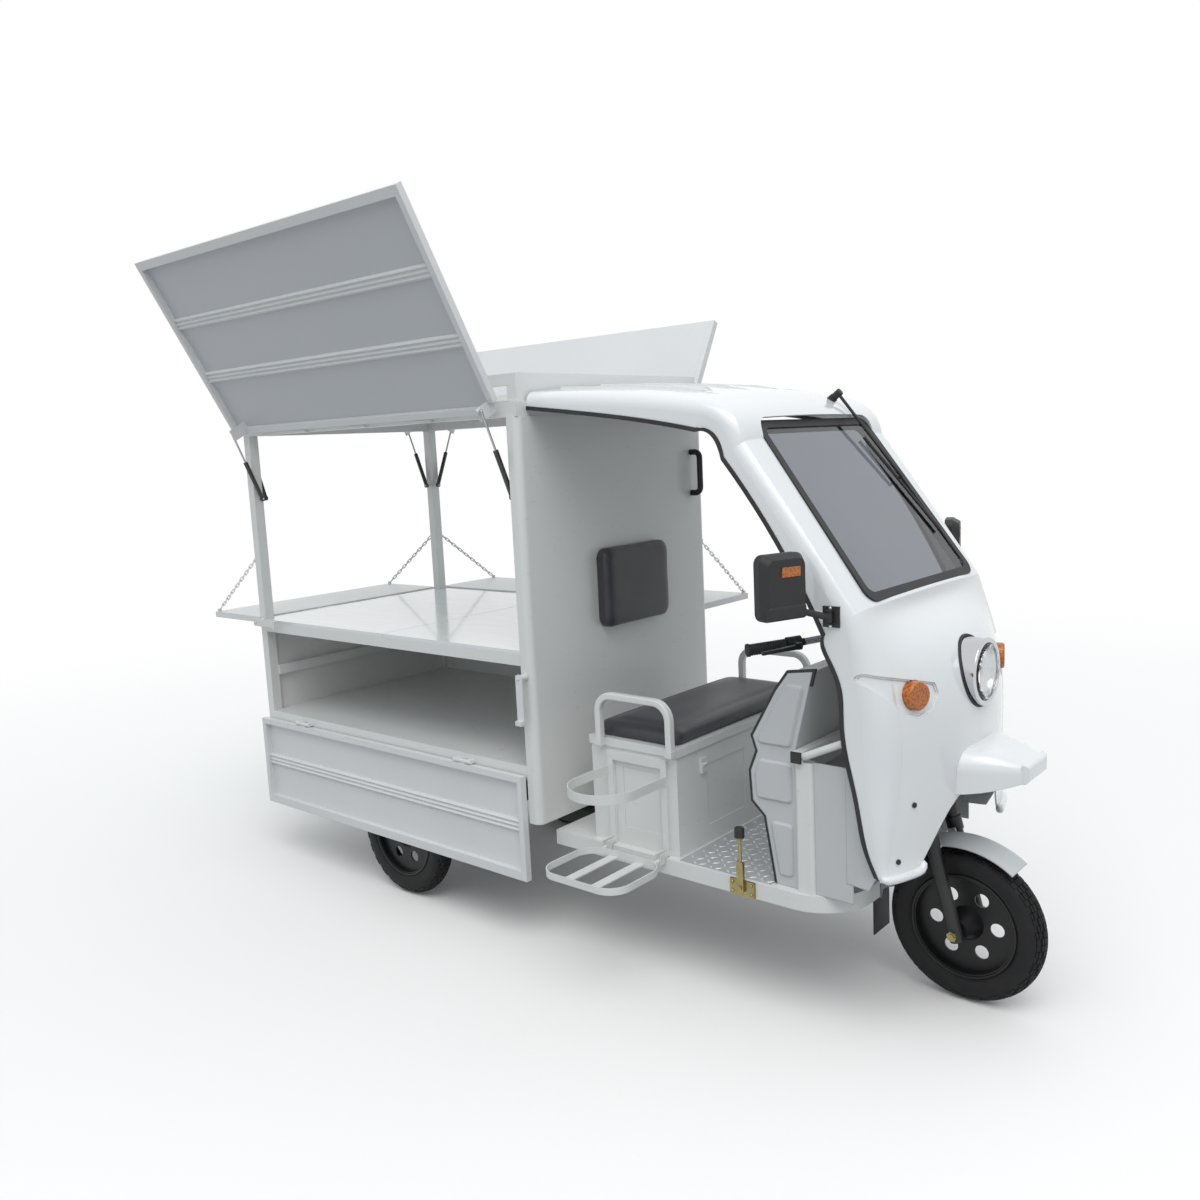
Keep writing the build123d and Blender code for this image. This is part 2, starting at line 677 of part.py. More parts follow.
def cab_shell():
    shell = Part(lofted_runs(shell_section).wrapped)
    rib_width = 34
    rib_rise = 6
    roof = SHELL[:4]
    for y in (-300, -100, 100, 300):
        top = []
        for x, z, slope, half, crown, corner, depth in roof:
            top.append((x, z - crown * (y / (half - corner)) ** 2))
        top[0] = (top[0][0] + 30, top[0][1] - 2)
        outline = [(x, z + rib_rise) for x, z in top[:3]] + [(x, z - SHELL_T / 2) for x, z in reversed(top)]
        plane = Plane(origin=(0, y + rib_width / 2, 0), x_dir=(1, 0, 0), z_dir=(0, -1, 0))
        shell += prism(outline, plane, rib_width)
    for side in (-1, 1):
        shell = press_wing(shell, side)
    shell -= extrude(SCREEN * screen_outline(0), 80, both=True)
    shell -= rod((1150, 0, HEADLIGHT_Z), (1400, 0, HEADLIGHT_Z), HEADLIGHT_R - 2 + SIDE_PLAY)
    for side in (-1, 1):
        base, out = signal_axis(side)
        shell -= rod(base - out * 60, base + out * 60, SIGNAL_R + SIDE_PLAY)
    shell -= SCREEN.location * rod((*WIPER_HUB, -60), (*WIPER_HUB, 60), SPINDLE_R + SIDE_PLAY)
    arch = [(318, 440), (300, 477), (250, 539), (150, 650)]
    arch = [(-y, z) for y, z in arch] + [(0, 690)] + arch[::-1]
    arch_edge = Spline(*arch)
    front = Plane(origin=(1100, 0, 0), x_dir=(0, 1, 0), z_dir=(1, 0, 0))
    shell -= extrude(front * make_face([*arch_edge.edges(), Line(arch[-1], arch[0])]), 300)
    keep("cab_shell", shell)

    edge = Part(lofted_runs(edge_section).wrapped) - shell
    edge = edge.solids().sort_by(SortBy.VOLUME)[-1]
    keep("rubber_trim", edge, mirror(edge, about=Plane.XZ))
    seal = screen_outline(0) - screen_outline(SEAL_WIDTH)
    keep("rubber_trim", extrude(SCREEN.offset(-SEAL_BELOW) * seal, SEAL_BELOW + SEAL_ABOVE))
    glass_low = (SEAL_BELOW + GLASS_T) / 2
    keep("windscreen_glass", extrude(SCREEN.offset(-glass_low) * screen_outline(SEAL_WIDTH), GLASS_T))
    return shell


def beak_section(x, half, top, bottom):
    """Closed outline of the beak's folded wall at one station."""
    plane = Plane(origin=(x, 0, 0), x_dir=(0, 1, 0), z_dir=(1, 0, 0))
    r = (top - bottom) / 2
    t = SHELL_T
    cut = sqrt(0.5)

    def side(sign, w, z, radius):
        centre = (w - radius, z - radius)
        return (
            (sign * w, bottom),
            (sign * w, centre[1]),
            (sign * (centre[0] + radius * cut), centre[1] + radius * cut),
            (sign * centre[0], z),
        )

    a, b, c, d = side(-1, half, top, r)
    e, f, g, h = side(1, half, top, r)
    i, j, k, m = side(1, half - t, top - t, r - t)
    n, o, p, q = side(-1, half - t, top - t, r - t)
    edges = [Line(a, b), ThreePointArc(b, c, d), Line(d, h), ThreePointArc(h, g, f), Line(f, e)]
    edges += [Line(e, i), Line(i, j), ThreePointArc(j, k, m), Line(m, q), ThreePointArc(q, p, o)]
    edges += [Line(o, n), Line(n, a)]
    return Wire([edge for curve in edges for edge in (plane * curve).edges()])


def nose_pieces(shell):
    rows = [(1265, 150, 800, 672), (1370, 120, 790, 690), (1440, 80, 765, 712)]
    beak = Part(Solid.make_loft([beak_section(*row) for row in rows], False).wrapped)
    x, half, top, bottom = rows[-1]
    tip_plane = Plane(origin=(x, 0, (top + bottom) / 2), x_dir=(0, 1, 0), z_dir=(1, 0, 0))
    tip = extrude(tip_plane * Rectangle(2 * half, top - bottom), 17)
    beak += fillet(tip.faces().sort_by(Axis.X)[-1].edges(), 12)
    beak -= shell
    keep("cab_shell", beak.solids().sort_by(Axis.X)[-1])

    face_x = 1306
    bucket_r = HEADLIGHT_R - 2
    bucket = rod((1225, 0, HEADLIGHT_Z), (face_x, 0, HEADLIGHT_Z), bucket_r)
    bucket -= rod((1240, 0, HEADLIGHT_Z), (face_x + 1, 0, HEADLIGHT_Z), bucket_r - SHELL_T)
    keep("headlight_housing", bucket)
    bezel = rod((face_x, 0, HEADLIGHT_Z), (face_x + 9, 0, HEADLIGHT_Z), HEADLIGHT_R, bucket_r - 13)
    keep("headlight_housing", fillet(bezel.edges().group_by(Axis.X)[-1], 3.5))
    lens = rod((face_x - 14, 0, HEADLIGHT_Z), (face_x + 15, 0, HEADLIGHT_Z), bucket_r - 13 - PLAY)
    lens = fillet(lens.edges().group_by(Axis.X)[-1], 13)
    keep("headlight_lens", lens)
    for side in (-1, 1):
        base, out = signal_axis(side)
        lamp = rod(base - out * 18, base + out * 16, SIGNAL_R)
        lens_edge_loop = lamp.faces().sort_by_distance(base + out * 16)[0].edges()
        keep("signal_lamps", fillet(lens_edge_loop, 8))
    for side in (-1, 1):
        y = side * TAIL_Y
        low, high = FLOOR_TOP - BEAM, FLOOR_TOP - 6
        lens = bar(-BOX_LENGTH - TAIL_DEPTH, -BOX_LENGTH, y - TAIL_HALF, y + TAIL_HALF, low, high)
        keep("signal_lamps", lens)


# Cab floor and the driver's fittings
def cab_floor():
    rear_x = 6
    length = FLOOR_FRONT_X - rear_x
    outline = Pos(rear_x + length / 2, 0) * Rectangle(length, 2 * FLOOR_HALF)
    outline = fillet(outline.vertices().group_by(Axis.X)[-1], FLOOR_CORNER_R)
    well = Pos((WELL_X + FLOOR_FRONT_X) / 2 + 50, 0) * Rectangle(FLOOR_FRONT_X - WELL_X + 100, 2 * WELL_HALF)
    outline -= well
    tray = Pos(0, 0, FLOOR_Z - SKIRT) * extrude(outline, SKIRT)
    pocket = offset(outline, -FLOOR_T, kind=Kind.INTERSECTION)
    tray -= Pos(0, 0, FLOOR_Z - SKIRT - 1) * extrude(pocket, SKIRT + 1 - FLOOR_T)
    under_floor = FLOOR_Z - FLOOR_T
    for x0, x1 in ((rear_x - 1, rear_x + FLOOR_T + 1), (WELL_X - FLOOR_T - 1, WELL_X + 1)):
        tray -= bar(x0, x1, -CAB_RAIL_OUT, CAB_RAIL_OUT, FLOOR_Z - SKIRT - 1, under_floor)
    keep("cab_floor", tray)
    tread_half = FLOOR_HALF - TREAD_EDGE
    tread = bar(SEAT_FRONT_X + TREAD_EDGE, DASH_FOOT_X - TREAD_EDGE, -tread_half, tread_half, 0, TREAD_T)
    keep("cab_floor", Pos(0, 0, FLOOR_Z) * tread)


def dash():
    rear_face = [(DASH_FOOT_X, FLOOR_Z), (822, 600), (780, 640), (775, 728), (800, 790), (785, 834)]
    outline = [(DASH_FRONT_X, FLOOR_Z), *rear_face, (866, 976), (906, 1030), (983, 1041), (DASH_FRONT_X, 815)]
    face = make_face(Polyline(*outline, close=True))
    inner = offset(face, -SHELL_T, kind=Kind.INTERSECTION)
    side = Plane(origin=(0, DASH_HALF, 0), x_dir=(1, 0, 0), z_dir=(0, -1, 0))
    panel = extrude(side * face, 2 * DASH_HALF)
    panel -= extrude(side.offset(SHELL_T) * inner, 2 * (DASH_HALF - SHELL_T))
    panel -= bar(900, 960, SHELL_T - DASH_HALF, DASH_HALF - SHELL_T, FLOOR_Z + 10, 780)
    panel -= bar(935, 990, -70, 70, 980, 1050)
    field = offset(face, -DASH_MARGIN, kind=Kind.INTERSECTION)
    for low, high in DASH_FIELDS:
        band = field & (Pos(900, (low + high) / 2) * Rectangle(400, high - low))
        outline = side * offset(offset(band, -DASH_MARGIN, kind=Kind.INTERSECTION), DASH_MARGIN)
        for end in (-1, 1):
            pad = extrude(outline, DASH_RELIEF, dir=(0, 1, 0))
            outer = pad.faces().sort_by(Axis.Y)[-1]
            pad = chamfer(outer.edges(), DASH_RELIEF - 1)
            panel += pad if end > 0 else mirror(pad, about=Plane.XZ)
    keep("dash_panel", panel)

    bead = offset(face, DASH_BEAD, kind=Kind.INTERSECTION) - offset(face, LINK_PLAY, kind=Kind.INTERSECTION)
    bead = extrude(side * bead, DASH_BEAD)
    under = FLOOR_Z - 2 * DASH_BEAD
    bead -= bar(0, FRONT_AXLE_X, -DASH_HALF, DASH_HALF + 1, under, FLOOR_Z + TREAD_T + LINK_PLAY)
    bead -= bar(DASH_FRONT_X - DASH_BEAD, FRONT_AXLE_X, -DASH_HALF, DASH_HALF + 1, under, 1000)
    bead = bead.solids().sort_by(SortBy.VOLUME)[-1]
    keep("rubber_trim", bead, mirror(bead, about=Plane.XZ))


def front_frame():
    tube = 30
    tube_x = 927
    tube_z = 784
    post_half = 15
    post_x1 = tube_x + 57
    keep("front_frame", bar(tube_x, tube_x + tube, 5 - FLOOR_HALF, FLOOR_HALF - 5, tube_z, tube_z + tube))
    for side in (-1, 1):
        y = side * (DASH_HALF + 1)
        post = bar(tube_x, post_x1, y - post_half, y + post_half, FLOOR_Z, tube_z)
        keep("front_frame", fillet(post.edges().filter_by(Axis.Z), 12))
        tie_y = side * (DASH_HALF + 12)
        tie = rod((tube_x + tube, tie_y, 800), (1126, tie_y, 878), 11)
        y0, y1 = sorted((tie_y, side * (FLOOR_HALF + 2 - SHELL_T - LINK_PLAY)))
        keep("front_frame", tie + bar(1106, 1126, y0, y1, 862, 882))
        y0, y1 = sorted((side * (DASH_HALF + 2), side * (DASH_HALF + 5)))
        keep("front_frame", bar(post_x1, 1100, y0, y1, FLOOR_Z, 786))
        y0, y1 = sorted((side * (FLOOR_HALF - 5), side * (FLOOR_HALF + 1)))
        keep("rubber_trim", bar(tube_x - 1, tube_x + tube + 1, y0, y1, tube_z - 1, tube_z + tube + 1))


def seat():
    wall = 4
    box = bar(SEAT_REAR_X, SEAT_FRONT_X, -SEAT_HALF, SEAT_HALF, FLOOR_Z, SEAT_TOP)
    inside = SEAT_HALF - wall
    box -= bar(SEAT_REAR_X + wall, SEAT_FRONT_X - wall, -inside, inside, FLOOR_Z + wall, SEAT_TOP + 1)
    emboss = wall / 2
    frame_low = FLOOR_Z + 60
    frame_high = SEAT_TOP - 60
    for y in stations_along(-SEAT_HALF, SEAT_HALF, 2):
        y0, y1 = y - 105, y + 105
        box -= bar(SEAT_FRONT_X - emboss, SEAT_FRONT_X + 1, y0, y1, frame_low, frame_high)
    for side in (-1, 1):
        y0, y1 = sorted((side * (SEAT_HALF - emboss), side * (SEAT_HALF + 1)))
        box -= bar(SEAT_REAR_X + 130, SEAT_FRONT_X - 70, y0, y1, frame_low, frame_high)

    pivot = (SEAT_REAR_X - 10, SEAT_TOP + 5)
    ear = 8
    lid_low = SEAT_TOP + SIDE_PLAY
    overhang = 5
    lid_x0 = SEAT_REAR_X - overhang
    lid_x1 = SEAT_FRONT_X + overhang
    lid_half = SEAT_HALF + overhang
    lid = bar(lid_x0, lid_x1, -lid_half, lid_half, lid_low, lid_low + LID_HEIGHT)
    skin = 3
    lid_inside = lid_half - skin
    lid_skin_low = lid_low + LID_HEIGHT - skin
    lid -= bar(lid_x0 + skin, lid_x1 - skin, -lid_inside, lid_inside, lid_low - 1, lid_skin_low)
    for y in (-250, 250):
        box += bar(pivot[0] - ear, SEAT_REAR_X, y - 30, y - KNUCKLE / 2 - SIDE_PLAY, SEAT_TOP - 30, pivot[1])
        box += bar(pivot[0] - ear, SEAT_REAR_X, y + KNUCKLE / 2 + SIDE_PLAY, y + 30, SEAT_TOP - 30, pivot[1])
        box += rod((pivot[0], y - 30, pivot[1]), (pivot[0], y + 30, pivot[1]), PIN_R)
        lid -= bar(lid_x0 - 1, lid_x0 + skin + 1, y - 32, y + 32, lid_low - 1, pivot[1] + KNUCKLE_R + 1)
        y0, y1 = y - KNUCKLE / 2, y + KNUCKLE / 2
        lug = rod((pivot[0], y0, pivot[1]), (pivot[0], y1, pivot[1]), KNUCKLE_R)
        lug += bar(pivot[0], lid_x0 + skin, y0, y1, pivot[1] + 2, lid_low + LID_HEIGHT)
        lid += lug
        lid -= rod((pivot[0], y - KNUCKLE, pivot[1]), (pivot[0], y + KNUCKLE, pivot[1]), PIN_R + PLAY)
    keep("seat_box", box)

    ledge = 2 * RAIL_R + 6
    arm_rear = SEAT_REAR_X + 55
    arm_front = SEAT_FRONT_X - 8
    for side in (-1, 1):
        y = side * (lid_half + ledge / 2)
        y0, y1 = sorted((side * lid_half, side * (lid_half + ledge)))
        for x in (arm_rear, arm_front):
            lid += bar(x - ledge / 2, x + ledge / 2, y0, y1, lid_low + 6, lid_low + LID_HEIGHT)
        low = lid_low + LID_HEIGHT
        high = ARM_TOP - RAIL_R
        path = [(arm_rear, y, low), (arm_rear, y, high), (arm_front, y, high), (arm_front, y, low)]
        keep("seat_lid", bent_tube(path, RectangleRounded(2 * RAIL_R, 2 * RAIL_R + 4, 5), ARM_BEND))
    keep("seat_lid", lid)

    cushion_x = (lid_x0 + lid_x1) / 2
    depth = lid_x1 - lid_x0 - 10
    width = 2 * lid_half - 14
    rows = ((0, 12, 40), (20, 0, 46), (42, 4, 46), (CUSHION - 8, 34, 40), (CUSHION, 120, 20))
    base = low
    sections = []
    for rise, draw, corner in rows:
        sections.append(Pos(cushion_x, 0, base + rise) * RectangleRounded(depth - draw, width - draw, corner))
    keep("seat_cushion", loft(sections))

    cells = 5
    cell_width = 140
    for i in range(cells):
        y = (i - (cells - 1) / 2) * (cell_width + 2)
        y0, y1 = y - cell_width / 2, y + cell_width / 2
        keep("power_pack", bar(SEAT_REAR_X + 40, SEAT_REAR_X + 220, y0, y1, FLOOR_Z + wall, 580))
    keep("power_pack", bar(SEAT_REAR_X + 228, SEAT_FRONT_X - 30, -110, 110, FLOOR_Z + wall, 480))

    pad_y = 25
    pad = bar(SHEET + 1, 56, pad_y - 192, pad_y + 192, 1040, 1340)
    pad = fillet(pad.edges().filter_by(Axis.X), 40)
    keep("backrest_pad", fillet(pad.faces().sort_by(Axis.X)[-1].edges(), 18))
    handle_y = 425
    face = SHEET + 1
    grip_x = face + 42
    path = [(x, handle_y, z) for x, z in ((face, 1485), (grip_x, 1485), (grip_x, 1640), (face, 1640))]
    keep("cab_fittings", bent_tube(path, Circle(11), 22))


# Gas-bottle rack beside the seat box
def bottle_rack():
    upright = 12
    rack_y = -SEAT_HALF - upright
    pivot_y = rack_y - 34
    pivot_z = RING_Z - RING_BAR / 2
    rack_xs = (245, 460)
    for x in rack_xs:
        keep("seat_box", bar(x - 12, x + 12, rack_y, -SEAT_HALF, FLOOR_Z, SEAT_TOP - 10))
    keep("seat_box", bar(rack_xs[0] + 12, rack_xs[1] - 12, rack_y, -SEAT_HALF, SEAT_TOP - 40, SEAT_TOP - 10))
    ring_x = (rack_xs[0] + rack_xs[1]) / 2
    ring_y0 = pivot_y - 29
    outline = Pos(ring_x, ring_y0 - RING_DEPTH / 2) * RectangleRounded(RING_LENGTH, RING_DEPTH, 70)
    ring = extrude(outline - offset(outline, -RING_T), RING_BAR)
    slat = 34
    for x in stations_along(ring_x - RING_LENGTH / 2, ring_x + RING_LENGTH / 2, 2):
        y0, y1 = ring_y0 - RING_DEPTH + RING_T / 2, ring_y0 - RING_T / 2
        ring += bar(x - slat / 2, x + slat / 2, y0, y1, 0, RING_T)
    ring = Pos(0, 0, RING_Z - RING_BAR) * ring
    cheek = 5
    for x in rack_xs:
        lug = bar(x - 12, x + 12, pivot_y - 10, rack_y, FLOOR_Z + 4, FLOOR_Z + 18)
        lug += bar(x - 12, x + 12, pivot_y - 10, -FLOOR_HALF - 2, pivot_z - 9, FLOOR_Z + 4)
        lug -= bar(x - 12 + cheek, x + 12 - cheek, pivot_y - 11, rack_y, pivot_z - 10, FLOOR_Z + 19)
        lug += rod((x - 12, pivot_y, pivot_z), (x + 12, pivot_y, pivot_z), PIN_R)
        keep("seat_box", lug)
        eye_half = 12 - cheek - SIDE_PLAY
        eye = rod((x - eye_half, pivot_y, pivot_z), (x + eye_half, pivot_y, pivot_z), KNUCKLE_R)
        eye += bar(x - eye_half, x + eye_half, ring_y0 - RING_T / 2, pivot_y, pivot_z - 6, pivot_z + 6)
        ring += eye
        ring -= rod((x - 12, pivot_y, pivot_z), (x + 12, pivot_y, pivot_z), PIN_R + PLAY)
    keep("bottle_ring", ring)

    band = 3
    loop_r = 118
    strap_z = 630
    strap_tall = 30
    loop_y = rack_y - 150
    x0, x1 = ring_x - loop_r, ring_x + loop_r
    path = Line((x0, rack_y), (x0, loop_y))
    path += ThreePointArc((x0, loop_y), (ring_x, loop_y - loop_r), (x1, loop_y))
    path += Line((x1, loop_y), (x1, rack_y))
    outer = make_face([*path.edges(), Line((x1, rack_y), (x0, rack_y))])
    strip = outer - offset(outer, -band)
    strip = Pos(0, 0, strap_z) * extrude(strip, strap_tall)
    strip -= bar(x0 + band, x1 - band, rack_y - band - 1, rack_y + 1, strap_z - 1, strap_z + strap_tall + 1)
    keep("bottle_strap", strip)


# Parking brake lever on the right edge of the floor
def parking_brake():
    plate_x = 757
    y = -FLOOR_HALF
    bracket = bar(plate_x - 42, plate_x + 42, y - 8, y, FLOOR_Z - 48, FLOOR_Z)
    pivot = Vector(plate_x, y - 8, FLOOR_Z - 20)
    bracket += rod(pivot, pivot - Vector(0, 14), 6)
    keep("zinc_fittings", bracket)
    eye_y = y - 8 - SIDE_PLAY
    lever = bar(plate_x - 11, plate_x + 11, eye_y - 10, eye_y, FLOOR_Z - 32, FLOOR_Z + 60)
    lever -= rod(pivot + Vector(0, 1), pivot - Vector(0, 30), 6 + PLAY)
    lever += rod((plate_x, eye_y - 5, FLOOR_Z + 60), (plate_x, eye_y - 5, 530), 5)
    keep("parking_brake_lever", lever)
    knob = rod((plate_x, eye_y - 5, 530), (plate_x, eye_y - 5, 566), 15)
    keep("parking_brake_lever", fillet(knob.edges(), 7))


# Steering, drawn in a frame whose z runs up the steering axis and whose x points ahead
AHEAD = Vector(cos(radians(RAKE)), 0, sin(radians(RAKE)))
STEER_ORIGIN = Vector(FRONT_AXLE_X, 0, WHEEL_R) - AHEAD * FORK_OFFSET
STEER = Plane(origin=STEER_ORIGIN, x_dir=AHEAD, z_dir=(-sin(radians(RAKE)), 0, cos(radians(RAKE)))).location


def fork():
    crown_half = FORK_HALF + 24
    crown = bar(-STEM_R - 8, FORK_OFFSET + 24, -crown_half, crown_half, CROWN_LOW, CROWN_LOW + CROWN_T)
    crown = fillet(crown.edges().filter_by(Axis.Z), 16)
    stem = crown + rod((0, 0, CROWN_LOW), (0, 0, STEM_TOP), STEM_R)
    clamp = STEER.inverse() * bar(912, 1012, -26, 26, 1066, 1112)
    stem += fillet(clamp.edges(), 8)
    bar_hole = STEER.inverse() * rod((BAR_X, -40, BAR_Z), (BAR_X, 40, BAR_Z), BAR_R + PLAY)
    keep("steering_stem", STEER * (stem - bar_hole))
    for side in (-1, 1):
        y = side * FORK_HALF
        tube = rod((FORK_OFFSET, y, LEG_BORE_LOW + 60), (FORK_OFFSET, y, CROWN_LOW), STANCHION_R)
        keep("steering_stem", STEER * tube)

    legs = rod((FORK_OFFSET, -FORK_HALF - 34, 0), (FORK_OFFSET, FORK_HALF + 34, 0), AXLE_R)
    for side in (-1, 1):
        y = side * FORK_HALF
        leg = rod((FORK_OFFSET, y, -24), (FORK_OFFSET, y, LEG_TOP), FORK_LEG_R)
        leg += rod((FORK_OFFSET, y, LEG_TOP - 40), (FORK_OFFSET, y, LEG_TOP), FORK_LEG_R + 4)
        leg += rod((FORK_OFFSET, y, LEG_TOP), (FORK_OFFSET, y, LEG_TOP + 34), FORK_LEG_R - 1)
        legs += leg
    for side in (-1, 1):
        y = side * FORK_HALF
        legs -= rod((FORK_OFFSET, y, LEG_BORE_LOW), (FORK_OFFSET, y, LEG_TOP + 40), STANCHION_R + PLAY)
    keep("fork_legs", STEER * legs)
    nut = FORK_HALF + FORK_LEG_R
    for side in (-1, 1):
        start, end = (FORK_OFFSET, side * nut, 0), (FORK_OFFSET, side * (nut + 10), 0)
        hexagon = Plane(origin=start, z_dir=(0, side, 0)) * RegularPolygon(15, 6)
        keep("fork_legs", STEER * (extrude(hexagon, 10) - rod(start, end, AXLE_R)))


def mudguard():
    axle = (FRONT_AXLE_X, WHEEL_R)
    def crest(inset):
        """Half ring of the guard's section: edge, shoulder and crown, drawn in by an inset."""
        edge = (GUARD_R - GUARD_LIP, GUARD_HALF - inset)
        return ThreePointArc((edge[0], -edge[1]), (GUARD_R + GUARD_T - inset, 0), edge)

    outer, inner = crest(0), crest(GUARD_T)
    ends = [Line(outer @ 0, inner @ 0), Line(outer @ 1, inner @ 1)]
    section = make_face([*outer.edges(), *inner.edges(), *ends])
    axis = Axis((axle[0], 0, axle[1]), (0, -1, 0))
    flat = Plane(origin=(axle[0], 0, axle[1]), x_dir=(1, 0, 0), z_dir=(0, 0, 1))
    guard = revolve(flat * section, axis, GUARD_REAR - GUARD_FRONT).rotate(axis, GUARD_FRONT)
    inner_face = FORK_HALF - FORK_LEG_R - 4
    stay_low = GUARD_R - GUARD_LIP - 2
    for side in (-1, 1):
        y0, y1 = sorted((side * (GUARD_HALF - GUARD_T), side * inner_face))
        guard += STEER * bar(FORK_OFFSET - 12, FORK_OFFSET + 12, y0, y1, stay_low, stay_low + 24)
    keep("front_mudguard", guard)
    end = radians(GUARD_REAR)
    x = axle[0] + (GUARD_R + GUARD_T) * cos(end)
    z = axle[1] + GUARD_R * sin(end)
    keep("front_mudguard", bar(x - 4, x, 4 - GUARD_HALF, GUARD_HALF - 4, 140, z + 18))


def handlebar():
    grip_end = Vector(732, -330, 1067)
    knee = Vector(845, -195, 1080)
    path = [tuple(grip_end), tuple(knee), (928, -70, BAR_Z), (928, 70, BAR_Z)]
    path += [(knee.X, -knee.Y, knee.Z), (grip_end.X, -grip_end.Y, grip_end.Z)]
    keep("handlebar", bent_tube(path, Circle(BAR_R), 40))
    along = (knee - grip_end).normalized()
    front = Vector(along.Y, -along.X, 0).normalized()
    up = along.cross(front) * -1
    grip_length = 116
    housing_start = grip_end + along * (grip_length + 2)
    housing_end = housing_start + along * 44
    housing = rod(housing_start, housing_end, 21)
    housing += rod(housing_start + along * 22, housing_start + along * 22 + front * 30, 11)
    housing -= rod(grip_end, housing_end + along * 5, BAR_R)
    pivot = housing_start + along * 22 + front * 46
    tall = 5
    for turn in (-1, 1):
        near = pivot + up * turn * (tall + SIDE_PLAY)
        plate = rod(near, near + up * turn * 4, 10)
        bridge = Plane(origin=near - front * 16, x_dir=front, z_dir=up * turn)
        housing += plate + extrude(bridge * Rectangle(32, 14), 4)
    housing += rod(pivot - up * (tall + 4), pivot + up * (tall + 4), 3)
    grip = rod(grip_end - along * 5, grip_end + along * grip_length, 16)
    grip += rod(grip_end - along * 5, grip_end + along * 4, 19)
    fixed_grip = grip - rod(grip_end, grip_end + along * (grip_length + 1), BAR_R)
    loose_grip = grip - rod(grip_end - along * SIDE_PLAY, grip_end + along * (grip_length + 1), BAR_R + PLAY)
    blade_plane = Plane(origin=pivot, x_dir=along * -1, z_dir=up)
    points = [(-4, -7), (-4, 7), (55, 23), (119, 32), (122, 21), (62, 9), (14, -7)]
    blade = make_face(Polyline(*points, close=True))
    if (blade_plane * Vertex(0, 30, 0)).center().sub(pivot).dot(front) < 0:
        blade = mirror(blade, about=Plane.XZ)
    lever = extrude(blade_plane.offset(-tall) * blade, 2 * tall)
    lever += rod(pivot - up * tall, pivot + up * tall, 8)
    lever -= rod(pivot - up * 20, pivot + up * 20, 3 + PLAY)
    horn_base = housing_start + along * 22 - front * 21
    mirrored = mirror(housing, about=Plane.XZ)
    left_horn = Vector(horn_base.X, -horn_base.Y, horn_base.Z)
    left_front = Vector(front.X, -front.Y, front.Z)
    mirrored -= rod(left_horn - left_front * 5, left_horn + left_front * 6, 7 + PLAY)
    keep("handlebar", housing, mirrored)
    keep("horn_button", rod(left_horn - left_front * 7, left_horn + left_front * 2, 7))
    keep("throttle_grip", loose_grip)
    keep("handlebar", mirror(fixed_grip, about=Plane.XZ))
    keep("brake_lever_right", lever)
    keep("brake_lever_left", mirror(lever, about=Plane.XZ))


# Wheels, revolved about Y
def wheel(node, x, y, hub_half, bore, dish):
    plane = Plane(origin=(x, y, WHEEL_R), x_dir=(1, 0, 0), z_dir=(0, -1, 0))
    axis = Axis((x, y, WHEEL_R), (0, 1, 0))
    half = TYRE_WIDTH / 2
    seat = RIM_WIDTH / 2
    shoulder = WHEEL_R - 16
    tyre = [(RIM_R, -seat), (RIM_R + 36, -half), (shoulder, 5 - half), (WHEEL_R, -half / 2)]
    tyre += [(r, -side) for r, side in reversed(tyre)]
    section = Plane(origin=(x, y, WHEEL_R), x_dir=(1, 0, 0), z_dir=(0, 0, 1))
    keep(node + "_tyre", revolve(section * make_face(Polyline(*tyre, close=True)), axis))
    hub_r = 28
    web = 3
    barrel = RIM_R - 6
    rim = [(bore, -hub_half), (hub_r, -hub_half), (HUB_R, dish - web), (barrel, dish - web), (barrel, -seat)]
    rim += [(RIM_R, -seat), (RIM_R, seat), (barrel, seat), (barrel, dish + web), (HUB_R, dish + web)]
    rim += [(hub_r, hub_half), (bore, hub_half)]
    rim = revolve(section * make_face(Polyline(*rim, close=True)), axis)
    hole = extrude(Circle(RIM_HOLE_R), TYRE_WIDTH, both=True)
    for spot in PolarLocations(RIM_HOLE_PITCH_R, RIM_HOLES):
        rim -= plane.location * spot * hole
    keep(node + "_rim", rim)


